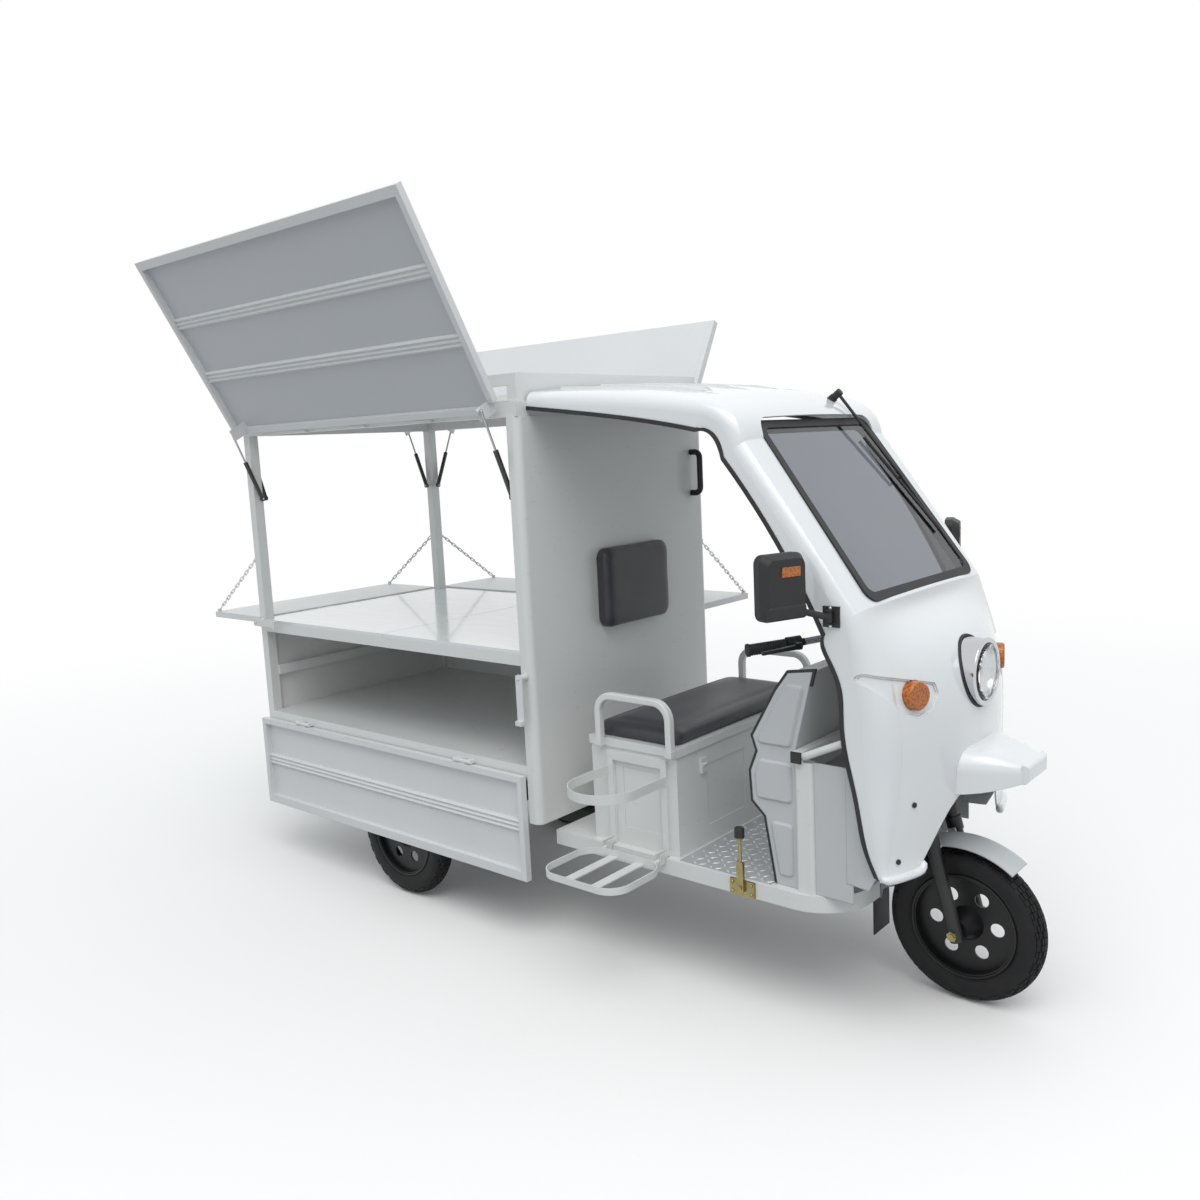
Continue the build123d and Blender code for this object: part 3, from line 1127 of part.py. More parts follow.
# Rear axle and leaf springs
def rear_axle():
    side_y = TRACK / 2
    drum_y = side_y - DRUM_INSET
    tube = rod((REAR_AXLE_X, -drum_y, WHEEL_R), (REAR_AXLE_X, drum_y, WHEEL_R), AXLE_TUBE_R)
    tube += rod((REAR_AXLE_X, 30, WHEEL_R), (REAR_AXLE_X, 110, WHEEL_R), 92)
    tube += rod((REAR_AXLE_X, -side_y - 44, WHEEL_R), (REAR_AXLE_X, side_y + 44, WHEEL_R), STUB_R)
    motor_x = REAR_AXLE_X + 30
    tube += rod((motor_x, 40, WHEEL_R + 20), (motor_x, -150, WHEEL_R + 20), 78)
    for side in (-1, 1):
        near, far = side * (drum_y - DRUM_WIDTH), side * drum_y
        tube += rod((REAR_AXLE_X, near, WHEEL_R), (REAR_AXLE_X, far, WHEEL_R), DRUM_R)
        y = side * SPRING_Y
        pad_top = SPRING_LOW - SIDE_PLAY
        tube += bar(REAR_AXLE_X - 40, REAR_AXLE_X + 40, y - 28, y + 28, WHEEL_R, pad_top)
    keep("rear_axle", tube)

    for side in (-1, 1):
        y = side * SPRING_Y
        plane = Plane(origin=(REAR_AXLE_X, y + LEAF_WIDTH / 2, 0), x_dir=(1, 0, 0), z_dir=(0, -1, 0))
        rise = SPRING_EYE_Z - SPRING_LOW
        pack = None
        for i, half in enumerate((SPRING_HALF, SPRING_HALF * 0.72, SPRING_HALF * 0.45)):
            lift = (2 - i) * LEAF_T
            end_z = SPRING_LOW + lift + rise * (half / SPRING_HALF) ** 2
            low = ThreePointArc((-half, end_z), (0, SPRING_LOW + lift), (half, end_z))
            high = Pos(0, LEAF_T) * low
            ends = [Line(low @ 0, high @ 0), Line(low @ 1, high @ 1)]
            leaf = extrude(plane * make_face([*low.edges(), *high.edges(), *ends]), LEAF_WIDTH)
            pack = leaf if pack is None else pack + leaf
        for end in (-1, 1):
            x = REAR_AXLE_X + end * SPRING_HALF
            z = SPRING_EYE_Z + 2.5 * LEAF_T
            pack += rod((x, y - LEAF_WIDTH / 2, z), (x, y + LEAF_WIDTH / 2, z), 13)
            pack -= rod((x, y - LEAF_WIDTH, z), (x, y + LEAF_WIDTH, z), PIN_R + PLAY)
        keep("leaf_springs", pack)


# Chassis: two box rails, two lower cab rails, the neck and the head tube
def chassis():
    low = RAIL_TOP - RAIL_HEIGHT
    cab_top = FLOOR_Z - FLOOR_T
    cab_low = cab_top - CAB_RAIL_HEIGHT
    half = RAIL_WIDTH / 2
    step_x = -300
    for side in (-1, 1):
        y = side * RAIL_Y
        keep("chassis_frame", bar(5 - BOX_LENGTH, -POST - 5, y - half, y + half, low, RAIL_TOP))
        keep("chassis_frame", bar(step_x, step_x + RAIL_WIDTH, y - half, y + half, cab_top, low))
        y0, y1 = sorted((side * (CAB_RAIL_Y - half), side * (CAB_RAIL_Y + half)))
        keep("chassis_frame", bar(step_x, NECK_X - 65, y0, y1, cab_low, cab_top))
        for end in (-1, 1):
            x = REAR_AXLE_X + end * SPRING_HALF
            y = side * SPRING_Y
            outer = LEAF_WIDTH / 2 + SIDE_PLAY + 6
            hanger = bar(x - 18, x + 18, y - outer, y + outer, SPRING_EYE_Z, low)
            hanger -= bar(x - 19, x + 19, y - outer + 6, y + outer - 6, SPRING_EYE_Z - 1, low - 6)
            eye_z = SPRING_EYE_Z + 2.5 * LEAF_T
            keep("chassis_frame", hanger + rod((x, y - outer, eye_z), (x, y + outer, eye_z), PIN_R))
    reach = RAIL_Y + half
    keep("chassis_frame", bar(step_x - RAIL_WIDTH, step_x, -reach, reach, cab_top, cab_top + CAB_RAIL_HEIGHT))
    for x in (60 - BOX_LENGTH, -POST - 60):
        keep("chassis_frame", bar(x, x + RAIL_WIDTH, half - RAIL_Y, RAIL_Y - half, low, RAIL_TOP))
    beam_half = WELL_HALF - 1
    front_beam = bar(NECK_X - 65, NECK_X + 20, -beam_half, beam_half, cab_low, cab_top)
    neck = rod((NECK_X, 0, cab_low + 20), (NECK_TOP_X, 0, NECK_TOP_Z), 24)
    head = STEER * rod((0, 0, HEAD_LOW), (0, 0, HEAD_TOP), HEAD_TUBE_R)
    frame = front_beam + neck + head
    keep("chassis_frame", frame - STEER * rod((0, 0, HEAD_LOW - 1), (0, 0, HEAD_TOP + 1), STEM_R + PLAY))


# Mirrors, wiper and latches
def mirror_pieces(shell):
    base = Vector(1063, -FLOOR_HALF, 1206)
    plate = mirror_plate(base) - shell
    keep("cab_fittings", plate, mirror(plate, about=Plane.XZ))
    knuckle = mirror_pivot(base)
    arm = rod(knuckle - Vector(0, 0, 14), knuckle + Vector(0, 0, 14), MIRROR_PIVOT_R)
    head = Vector(985, -552, 1296)
    turn = Pos(*head) * Rot(0, 0, -MIRROR_TURN)
    house = loft(
        [
            Plane.YZ.offset(-MIRROR_DEPTH / 2) * RectangleRounded(MIRROR_WIDTH, MIRROR_HEIGHT, 24),
            Plane.YZ.offset(0) * RectangleRounded(MIRROR_WIDTH, MIRROR_HEIGHT, 24),
            Plane.YZ.offset(MIRROR_DEPTH / 2) * RectangleRounded(MIRROR_WIDTH - 26, MIRROR_HEIGHT - 26, 20),
        ],
        ruled=True,
    )
    foot_z = 24 - MIRROR_HEIGHT / 2
    foot = Box(MIRROR_DEPTH + 10, MIRROR_WIDTH - 20, 40)
    foot = Pos(0, 0, foot_z) * fillet(foot.edges(), 10)
    arm += turn * (house + foot)
    inner_end = (turn * Pos(0, MIRROR_WIDTH / 2 - 30, foot_z)).position
    arm += rod(knuckle, inner_end, MIRROR_PIVOT_R) + Pos(*inner_end) * Sphere(MIRROR_PIVOT_R)
    arm -= rod(knuckle - Vector(0, 0, 30), knuckle + Vector(0, 0, 30), PIN_R + PLAY)
    plate_t = 3
    glass_size = (plate_t, MIRROR_WIDTH - 24, MIRROR_HEIGHT - 24)
    glass = turn * Pos(-MIRROR_DEPTH / 2, 0, 0) * fillet(Box(*glass_size).edges().filter_by(Axis.X), 14)
    arm -= glass
    lamp = turn * Pos(MIRROR_DEPTH / 2, 12, MIRROR_HEIGHT / 2 - 46) * Box(2 * plate_t, 60, 26)
    arm -= lamp
    for node, side in (("right_mirror", 1), ("left_mirror", -1)):
        for piece in (arm, glass, lamp):
            keep(node, piece if side > 0 else mirror(piece, about=Plane.XZ))


def mirror_pivot(base):
    return base - Vector(0, MIRROR_PLATE_T + SIDE_PLAY + MIRROR_PIVOT_R)


def mirror_plate(base):
    plate = bar(base.X - 24, base.X + 24, base.Y - MIRROR_PLATE_T, base.Y, base.Z - 28, base.Z + 28)
    pivot = mirror_pivot(base)
    for turn in (-1, 1):
        z0, z1 = sorted((base.Z + turn * (14 + SIDE_PLAY), base.Z + turn * 20))
        plate += bar(base.X - 9, base.X + 9, pivot.Y - 8, base.Y, z0, z1)
    plate += rod(pivot - Vector(0, 0, 20), pivot + Vector(0, 0, 20), PIN_R)
    return plate


def wiper():
    hub = WIPER_HUB
    mid = (262, -251)
    blade_ends = ((228, -84), (302, -453))
    lift = 10
    arm_rise = lift + 14
    arm_root = 36
    arm_r = 5
    place_on = SCREEN.location
    piece = rod((*hub, 18), (*hub, arm_root + 2 * arm_r), 12) + rod((*hub, arm_root), (*mid, arm_rise), arm_r)
    piece += Pos(*mid, arm_rise) * Sphere(arm_r)
    blade = rod((*blade_ends[0], lift), (*blade_ends[1], lift), arm_r)
    piece += blade + rod((*mid, lift), (*mid, arm_rise), arm_r)
    piece -= rod((*hub, 10), (*hub, 36), PIN_R + PLAY)
    keep("wiper", place_on * piece)
    spindle = rod((*hub, -20), (*hub, 17.5), SPINDLE_R) + rod((*hub, 17), (*hub, 35), PIN_R)
    keep("cab_fittings", place_on * spindle)


def gate_latch(node, x, z, turn):
    """Swing latch on a post: a boss with a pin, and a lever that reaches over the closed gate."""
    post_y = -HALF - SHEET if x > -POST else -HALF
    lever_y = -HINGE_Y - PANEL_T / 2 - 2
    boss = rod((x, post_y, z), (x, lever_y, z), 12)
    boss += rod((x, lever_y, z), (x, lever_y - 12, z), PIN_R)
    keep("box_frame", boss)
    length = 170
    lever = bar(-15, 15, -6 - SIDE_PLAY, -SIDE_PLAY, 14 - length, 14)
    lever = fillet(lever.edges().filter_by(Axis.Y), 10)
    lever += bar(-15, 15, -18, -SIDE_PLAY, 14 - length, 30 - length)
    lever -= rod((0, 1, 0), (0, -20, 0), PIN_R + PLAY)
    keep(node, Pos(x, lever_y, z) * Rot(0, turn, 0) * lever)


def small_fittings():
    hasp_y = -265
    face = SEAT_FRONT_X
    keep("zinc_fittings", bar(face, face + 8, hasp_y - 14, hasp_y + 14, 640, 690))
    keep("zinc_fittings", rod((face + 8, hasp_y - 10, 668), (face + 8, hasp_y + 10, 668), 5))


stall_frame()
stall_panels()
stall_roof()
flaps()
gate()
shelves()
shell = cab_shell()
nose_pieces(shell)
cab_floor()
dash()
front_frame()
seat()
bottle_rack()
parking_brake()
fork()
mudguard()
handlebar()
wheel("front", FRONT_AXLE_X, 0, FORK_HALF - FORK_LEG_R - SIDE_PLAY, AXLE_R + PLAY, 0)
wheel("rear_right", REAR_AXLE_X, -TRACK / 2, TYRE_WIDTH / 2, STUB_R + PLAY, -12)
wheel("rear_left", REAR_AXLE_X, TRACK / 2, TYRE_WIDTH / 2, STUB_R + PLAY, 12)
rear_axle()
chassis()
mirror_pieces(shell)
wiper()
gate_latch("gate_latch_front", -24, 940, 0)
gate_latch("gate_latch_rear", POST / 2 - BOX_LENGTH, 1017, -90)
small_fittings()

os.makedirs("parts", exist_ok=True)
for node, solids in PARTS.items():
    moved = [Pos(-CENTRE_X, 0, 0) * solid for solid in solids]
    export_step(Compound(moved), f"parts/{node}.step")
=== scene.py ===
import bpy
from math import copysign, cos, pi, radians, sin
from mathutils import Matrix, Vector


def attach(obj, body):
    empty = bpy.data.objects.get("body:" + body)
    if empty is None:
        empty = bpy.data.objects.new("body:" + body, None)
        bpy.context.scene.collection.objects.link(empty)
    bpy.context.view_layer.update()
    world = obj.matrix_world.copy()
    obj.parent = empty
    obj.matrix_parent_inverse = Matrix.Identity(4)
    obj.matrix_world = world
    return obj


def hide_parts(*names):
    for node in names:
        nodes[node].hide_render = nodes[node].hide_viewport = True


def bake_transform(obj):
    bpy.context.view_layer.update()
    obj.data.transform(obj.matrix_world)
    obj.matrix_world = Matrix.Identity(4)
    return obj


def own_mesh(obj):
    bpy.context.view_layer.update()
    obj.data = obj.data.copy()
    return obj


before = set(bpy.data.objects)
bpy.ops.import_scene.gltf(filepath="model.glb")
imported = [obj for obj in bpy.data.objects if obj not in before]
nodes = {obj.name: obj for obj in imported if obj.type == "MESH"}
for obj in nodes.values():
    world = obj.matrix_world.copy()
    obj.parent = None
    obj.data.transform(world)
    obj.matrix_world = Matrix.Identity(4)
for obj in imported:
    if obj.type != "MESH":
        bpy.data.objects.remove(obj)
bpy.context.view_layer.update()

# Studio: the camera stands where the photographer stood, ahead of the vehicle on its right, at eye
# height. The pale floor runs into a white room, whose light falls off from the ceiling to the walls.
scene = bpy.context.scene
scene.view_settings.view_transform = "Standard"
photographer = Vector((2.6744, -2.9438, 1.687))
look_right = Vector((0.759, 0.649, -0.048)).normalized()
look_ahead = Vector((-0.648, 0.748, -0.144)).normalized()
look_up = look_right.cross(look_ahead).normalized()
look_ahead = look_up.cross(look_right)
look = Matrix((look_right, look_up, -look_ahead)).transposed().to_4x4()
camera_data = bpy.data.cameras.new("photo_camera")
camera_data.sensor_width = 36.0
camera_data.lens = 32.12
camera = bpy.data.objects.new("photo_camera", camera_data)
camera.matrix_world = Matrix.Translation(photographer) @ look
scene.collection.objects.link(camera)
scene.camera = camera

floor_size = 160
bpy.ops.object.select_all(action="DESELECT")
bpy.ops.mesh.primitive_plane_add(size=floor_size, location=(0, 0, 0))
floor = bpy.context.object
floor.name = "floor"


def wire(tree, *joins):
    """Links pairs of sockets, each given as (from, to)."""
    for start, end in joins:
        tree.links.new(start, end)


def seen_by_eye(tree):
    """A socket that is 1 for rays from the camera and for what glass and gloss show, else 0."""
    path = tree.nodes.new("ShaderNodeLightPath")
    seen = path.outputs["Is Camera Ray"]
    for kind in ("Is Glossy Ray", "Is Transmission Ray"):
        either = tree.nodes.new("ShaderNodeMath")
        either.operation = "MAXIMUM"
        wire(tree, (seen, either.inputs[0]), (path.outputs[kind], either.inputs[1]))
        seen = either.outputs[0]
    return seen


floor_paint = bpy.data.materials.new("pale_floor")
floor_paint.use_nodes = True
floor_tree = floor_paint.node_tree
floor_eye = seen_by_eye(floor_tree)
floor_mix = floor_tree.nodes.new("ShaderNodeMixShader")
shade_bounced, shade_seen = (0.42, 0.42, 0.42, 1), (0.99, 0.955, 0.93, 1)
for number, shade in ((1, shade_bounced), (2, shade_seen)):
    matt = floor_tree.nodes.new("ShaderNodeBsdfDiffuse")
    matt.inputs["Color"].default_value = shade
    wire(floor_tree, (matt.outputs[0], floor_mix.inputs[number]))
floor_place = floor_tree.nodes.new("ShaderNodeTexCoord")
floor_far = floor_tree.nodes.new("ShaderNodeVectorMath")
floor_far.operation = "LENGTH"
fade_start, fade_end = 2.2, 7.5
floor_fade = floor_tree.nodes.new("ShaderNodeMapRange")
floor_fade.interpolation_type = "SMOOTHSTEP"
floor_fade.inputs["From Min"].default_value = fade_start
floor_fade.inputs["From Max"].default_value = fade_end
floor_shows = floor_tree.nodes.new("ShaderNodeMath")
floor_shows.operation = "MULTIPLY"
floor_white = floor_tree.nodes.new("ShaderNodeEmission")
floor_blend = floor_tree.nodes.new("ShaderNodeMixShader")
wire(
    floor_tree,
    (floor_eye, floor_mix.inputs["Fac"]),
    (floor_place.outputs["Object"], floor_far.inputs[0]),
    (floor_far.outputs["Value"], floor_fade.inputs["Value"]),
    (floor_fade.outputs["Result"], floor_shows.inputs[0]),
    (floor_eye, floor_shows.inputs[1]),
    (floor_shows.outputs[0], floor_blend.inputs["Fac"]),
    (floor_mix.outputs[0], floor_blend.inputs[1]),
    (floor_white.outputs[0], floor_blend.inputs[2]),
    (floor_blend.outputs[0], floor_tree.nodes["Material Output"].inputs["Surface"]),
)
floor.data.materials.append(floor_paint)

world = bpy.data.worlds.new("white_room")
world.use_nodes = True
scene.world = world
room = world.node_tree
wall_light, ceiling_light = 0.5, 0.98
toward = room.nodes.new("ShaderNodeTexCoord")
upward = room.nodes.new("ShaderNodeSeparateXYZ")
fall_off = room.nodes.new("ShaderNodeMapRange")
fall_off.inputs["To Min"].default_value = wall_light
fall_off.inputs["To Max"].default_value = ceiling_light
room_light = room.nodes["Background"]
room_light.inputs["Color"].default_value = (0.88, 0.95, 1.0, 1)
room_seen = room.nodes.new("ShaderNodeBackground")
room_seen.inputs["Color"].default_value = (1, 1, 1, 1)
room_mix = room.nodes.new("ShaderNodeMixShader")
wire(
    room,
    (toward.outputs["Generated"], upward.inputs[0]),
    (upward.outputs["Z"], fall_off.inputs["Value"]),
    (fall_off.outputs["Result"], room_light.inputs["Strength"]),
    (seen_by_eye(room), room_mix.inputs["Fac"]),
    (room_light.outputs[0], room_mix.inputs[1]),
    (room_seen.outputs[0], room_mix.inputs[2]),
    (room_mix.outputs[0], room.nodes["World Output"].inputs["Surface"]),
)

sun_data = bpy.data.lights.new("soft_daylight", "SUN")
sun_data.energy = 0.6
sun_data.angle = radians(40)
sun_place, sun_way = Vector((0, 0, 0)), Vector((-0.45, 0.42, -1.0))
softbox_data = bpy.data.lights.new("overhead_softbox", "AREA")
softbox_data.size = 4.0
softbox_data.energy = 60
softbox_place, softbox_target = Vector((2.2, -2.4, 5.0)), Vector((0.4, 0, 1.0))
for data, place, way in (
    (sun_data, sun_place, sun_way),
    (softbox_data, softbox_place, softbox_target - softbox_place),
):
    lamp = bpy.data.objects.new(data.name, data)
    lamp.location = place
    lamp.rotation_euler = way.to_track_quat("-Z", "Y").to_euler()
    scene.collection.objects.link(lamp)


# Chassis and axle: welded box-section rails, a neck that carries the head tube, and a live axle with
# its motor. They and the springs are steel, sprayed satin black and a little dusty.


class Value:
    """A socket of a material, with arithmetic that adds Math nodes."""

    def __init__(self, paint, socket):
        self.paint = paint
        self.socket = socket

    def math(self, operation, other):
        return self.paint.add("ShaderNodeMath", {"operation": operation}, {0: self, 1: other})

    def __add__(self, other):
        return self.math("ADD", other)

    __radd__ = __add__

    def __mul__(self, other):
        return self.math("MULTIPLY", other)

    __rmul__ = __mul__


class Paint:
    """One finish of the vehicle, built on the Principled shader and read in Object coordinates."""

    def __init__(self, name, **sockets):
        self.material = bpy.data.materials.new(name)
        self.material.use_nodes = True
        self.tree = self.material.node_tree
        self.shader = self.tree.nodes["Principled BSDF"]
        self.place = self.add("ShaderNodeTexCoord", {}, {}, "Object")
        self.set(**sockets)

    def set(self, **sockets):
        for name, value in sockets.items():
            self.feed(self.shader.inputs[name.replace("_", " ").title().replace("Ior", "IOR")], value)

    def feed(self, socket, value):
        if isinstance(value, Value):
            self.tree.links.new(value.socket, socket)
        elif socket.type == "RGBA":
            socket.default_value = (*value, 1)
        else:
            socket.default_value = value

    def add(self, kind, settings, inputs, output=0):
        node = self.tree.nodes.new(kind)
        for key, value in settings.items():
            if key == "stops":
                for stop, (at, shade) in zip(node.color_ramp.elements, value):
                    stop.position = at
                    stop.color = (shade, shade, shade, 1)
            else:
                setattr(node, key, value)
        for key, value in inputs.items():
            self.feed(node.inputs[key], value)
        return Value(self, node.outputs[output])

    def noise(self, scale, detail=3.0, stretch=(1, 1, 1)):
        spot = self.place
        if stretch != (1, 1, 1):
            spot = self.add("ShaderNodeMapping", {}, {"Vector": spot, "Scale": stretch})
        return self.add("ShaderNodeTexNoise", {}, {"Vector": spot, "Scale": scale, "Detail": detail})

    def bands(self, scale):
        inputs = {"Vector": self.place, "Scale": scale}
        return self.add("ShaderNodeTexWave", {"bands_direction": "Y"}, inputs)

    def cells(self, scale, feature):
        inputs = {"Vector": self.place, "Scale": scale}
        return self.add("ShaderNodeTexVoronoi", {"feature": feature}, inputs)

    def ramp(self, value, low, high):
        return self.add("ShaderNodeValToRGB", {"stops": ((low, 0.0), (high, 1.0))}, {"Fac": value})

    def mix(self, amount, first, second):
        return self.add("ShaderNodeMix", {"data_type": "RGBA"}, {0: amount, 6: first, 7: second}, 2)

    def relief(self, height, strength, depth, round_edges=0.0):
        inputs = {"Height": height, "Strength": strength, "Distance": depth}
        if round_edges:
            inputs["Normal"] = self.add("ShaderNodeBevel", {"samples": 4}, {"Radius": round_edges})
        self.set(normal=self.add("ShaderNodeBump", {}, inputs))


def dress(node, *finishes, choose=None):
    """Gives a CAD node its finishes, picked face by face where it has more than one."""
    mesh = nodes[node].data
    mesh.materials.clear()
    for finish in finishes:
        mesh.materials.append(finish.material)
    for face in mesh.polygons:
        face.material_index = int(choose(face)) if choose else 0


black_paint = Paint("satin_black_paint", specular_ior_level=0.45)
dust = black_paint.ramp(black_paint.noise(9, 6), 0.48, 0.8)
black_paint.set(base_color=black_paint.mix(dust * 0.55, (0.014, 0.014, 0.015), (0.07, 0.066, 0.06)))
black_paint.set(roughness=0.36 + 0.35 * dust)
black_paint.relief(black_paint.noise(420, 2), 0.12, 0.0006, round_edges=0.002)
for node in ("chassis_frame", "rear_axle", "leaf_springs"):
    dress(node, black_paint)

# Leaf springs: stacked black leaves, cut at the axle into a front and a rear half.
seam_gap = 0.00005


def merged_copy(node, name):
    """A copy of a CAD node with a mesh of its own, whose faces are joined along their seams."""
    bpy.ops.object.select_all(action="DESELECT")
    merged = nodes[node].copy()
    merged.data = nodes[node].data.copy()
    merged.name = name
    merged.hide_viewport = merged.hide_render = False
    scene.collection.objects.link(merged)
    bpy.context.view_layer.objects.active = merged
    merged.select_set(True)
    bpy.ops.object.mode_set(mode="EDIT")
    bpy.ops.mesh.select_all(action="SELECT")
    bpy.ops.mesh.remove_doubles(threshold=seam_gap)
    bpy.ops.object.mode_set(mode="OBJECT")
    return merged


rear_axle_x, seat_half, eye_half = -0.528, 0.055, 0.03
for half, hand in (("front", 1), ("rear", -1)):
    leaves = merged_copy("leaf_springs", half + "_leaf_halves")
    leaves.parent = None
    bpy.ops.object.mode_set(mode="EDIT")
    bpy.ops.mesh.select_all(action="SELECT")
    bpy.ops.mesh.bisect(plane_co=(rear_axle_x, 0, 0), plane_no=(hand, 0, 0), clear_inner=True)
    bpy.ops.object.mode_set(mode="OBJECT")
    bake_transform(leaves)
    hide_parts("leaf_springs")

# Stall box frame, walls, roof and rack: square steel tube welded into a cage, with bent sheet on the
# front, rear and left. Sprayed one warm white, with faint orange peel and scuffs.
box_white = Paint("warm_white_spray", specular_ior_level=0.5, coat_weight=0.25, coat_roughness=0.2)
scuffs = box_white.ramp(box_white.noise(26, 7, (1, 1, 3.0)), 0.63, 0.78)
tone = box_white.noise(1.7, 2)
sprayed = box_white.mix(tone, (0.70, 0.70, 0.675), (0.76, 0.76, 0.74))
box_white.set(base_color=box_white.mix(scuffs * 0.3, sprayed, (0.5, 0.48, 0.44)))
box_white.set(roughness=0.3 + 0.14 * tone + 0.2 * scuffs)
box_white.relief(box_white.noise(260, 2), 0.10, 0.0008, round_edges=0.0025)
for node in ("box_frame", "front_wall", "lower_panels", "roof"):
    dress(node, box_white)

# Counter: two laminated boards with a hard glossy face, butted with a thin dark joint. The gloss is
# a little dulled in streaks, where it has been wiped.
counter_face = Paint(
    "glossy_counter_laminate", specular_ior_level=0.55, coat_weight=0.6, coat_roughness=0.06
)
wiped = counter_face.noise(5, 5, (1, 3, 1))
counter_face.set(base_color=counter_face.mix(wiped, (0.74, 0.755, 0.765), (0.80, 0.81, 0.815)))
counter_face.set(roughness=0.16 + 0.12 * wiped)
counter_face.relief(counter_face.noise(90, 3), 0.04, 0.0008, round_edges=0.0015)
dress("counter_panels", counter_face)

# Flaps, gate and shelves: bar frames with a thin sheet, and ribbed trims across the flaps and the gate.
# White paint like the box's, and on the inside of the flaps a grey that is partly lining, partly painted
# shade.
panel_white = Paint("panel_white_spray", specular_ior_level=0.5, coat_weight=0.2, coat_roughness=0.25)
panel_tone = panel_white.noise(2.1, 3)
rubbed = panel_white.ramp(panel_white.noise(34, 6, (3, 1, 1)), 0.64, 0.8)
panel_base = panel_white.mix(panel_tone, (0.69, 0.69, 0.69), (0.755, 0.755, 0.75))
panel_white.set(base_color=panel_white.mix(rubbed * 0.25, panel_base, (0.52, 0.5, 0.47)))
panel_white.set(roughness=0.32 + 0.12 * panel_tone + 0.2 * rubbed)
panel_white.relief(panel_white.noise(210, 2), 0.10, 0.0008, round_edges=0.0025)
# Painted shade: this grey is darker than the lining alone and stands in for the shade under the open
# flaps.
lining_and_shade_grey = Paint("flap_lining_grey", specular_ior_level=0.45, coat_weight=0.1, coat_roughness=0.3)
lining_and_shade_tone = lining_and_shade_grey.noise(2.4, 3)
lining_and_shade_grey.set(base_color=lining_and_shade_grey.mix(lining_and_shade_tone, (0.53, 0.545, 0.565), (0.58, 0.59, 0.605)))
lining_and_shade_grey.set(roughness=0.36 + 0.14 * lining_and_shade_tone)
lining_and_shade_grey.relief(lining_and_shade_grey.noise(180, 2), 0.08, 0.0008)
for node in ("side_gate", "rear_shelf", "left_shelf", "gate_latch_front", "gate_latch_rear"):
    dress(node, panel_white)
sheet_area = 0.05
# The broad sheet faces that face downward take the grey with its painted shade.
for node in ("right_flap", "rear_flap", "left_flap"):
    dress(
        node, panel_white, lining_and_shade_grey, choose=lambda face: face.area > sheet_area and face.normal.z < 0
    )

# Gas struts: black enamelled tubes, two to a flap. A ground steel rod, faintly marked, slides out of
# one end of each.
strut_black = Paint("strut_black_enamel", roughness=0.22, specular_ior_level=0.5, coat_weight=0.3)
strut_grime = strut_black.ramp(strut_black.noise(60, 5), 0.5, 0.85)
strut_black.set(base_color=strut_black.mix(strut_grime, (0.01, 0.01, 0.011), (0.05, 0.048, 0.045)))
ground_rod = Paint("ground_rod_steel", metallic=1.0)
rod_marks = ground_rod.noise(240, 2, (1, 1, 6))
ground_rod.set(base_color=ground_rod.mix(rod_marks, (0.32, 0.32, 0.33), (0.5, 0.5, 0.5)))
ground_rod.set(roughness=0.2 + 0.15 * rod_marks)
for side in ("right", "rear", "left"):
    dress(side + "_strut_barrels", strut_black)
    dress(side + "_strut_rods", ground_rod)

# Shelf chains: bright zinc-plated links, hung from an eye on each post and hooked to the shelves.
bright_zinc = Paint("bright_zinc_plate", metallic=1.0)
plating = bright_zinc.noise(130, 3)
bright_zinc.set(base_color=bright_zinc.mix(plating, (0.55, 0.56, 0.57), (0.72, 0.72, 0.72)))
bright_zinc.set(roughness=0.22 + 0.2 * plating)
for side, outward in (("rear", Vector((-1, 0, 0))), ("left", Vector((0, 1, 0)))):
    node = side + "_shelf_chains"
    dress(node, bright_zinc)
    links = merged_copy(node, side + "_chain_links")
    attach(links, "frame")
    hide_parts(node)
    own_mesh(links)

# Cab shell: one moulded glass-fibre skin with a polished white gel coat, and the beak over the front
# wheel. Long soft reflections, a trace of mould ripple, no texture to the touch.
gel_coat = Paint("white_gel_coat", specular_ior_level=0.5, coat_weight=0.8, coat_roughness=0.05)
gel_tone = gel_coat.noise(1.3, 2)
gel_coat.set(base_color=gel_coat.mix(gel_tone, (0.77, 0.78, 0.785), (0.82, 0.825, 0.825)))
gel_coat.set(roughness=0.12 + 0.08 * gel_tone)
gel_coat.relief(gel_coat.noise(6, 2), 0.05, 0.004, round_edges=0.003)
dress("cab_shell", gel_coat)

# Rubber: extruded edging on the door openings, the deep windscreen seal and the tube caps. Black, with
# a pale bloom in patches.
black_rubber = Paint("black_rubber_edging", specular_ior_level=0.35)
bloom = black_rubber.ramp(black_rubber.noise(14, 5), 0.45, 0.8)
black_rubber.set(base_color=black_rubber.mix(bloom, (0.022, 0.022, 0.024), (0.055, 0.055, 0.057)))
black_rubber.set(roughness=0.5 + 0.25 * bloom)
black_rubber.relief(black_rubber.noise(500, 2), 0.2, 0.0005, round_edges=0.002)
dress("rubber_trim", black_rubber)

# Windscreen: one sheet of grey-tinted safety glass, pressed into the seal until it lies just below
# the rubber's outer face.
tinted_glass = Paint("grey_tinted_glass", roughness=0.03, transmission_weight=1.0, ior=1.45)
tint = tinted_glass.noise(2, 2)
tinted_glass.set(base_color=tinted_glass.mix(tint, (0.17, 0.19, 0.22), (0.22, 0.24, 0.27)))
dress("windscreen_glass", tinted_glass)
screen_out, pane_rise = Vector((0.806, 0, 0.592)), 0.0125
pane = merged_copy("windscreen_glass", "windscreen_pane")
bpy.ops.object.mode_set(mode="EDIT")
bpy.ops.mesh.select_all(action="SELECT")
bpy.ops.transform.translate(value=screen_out * pane_rise)
bpy.ops.object.mode_set(mode="OBJECT")
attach(pane, "frame")
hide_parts("windscreen_glass")

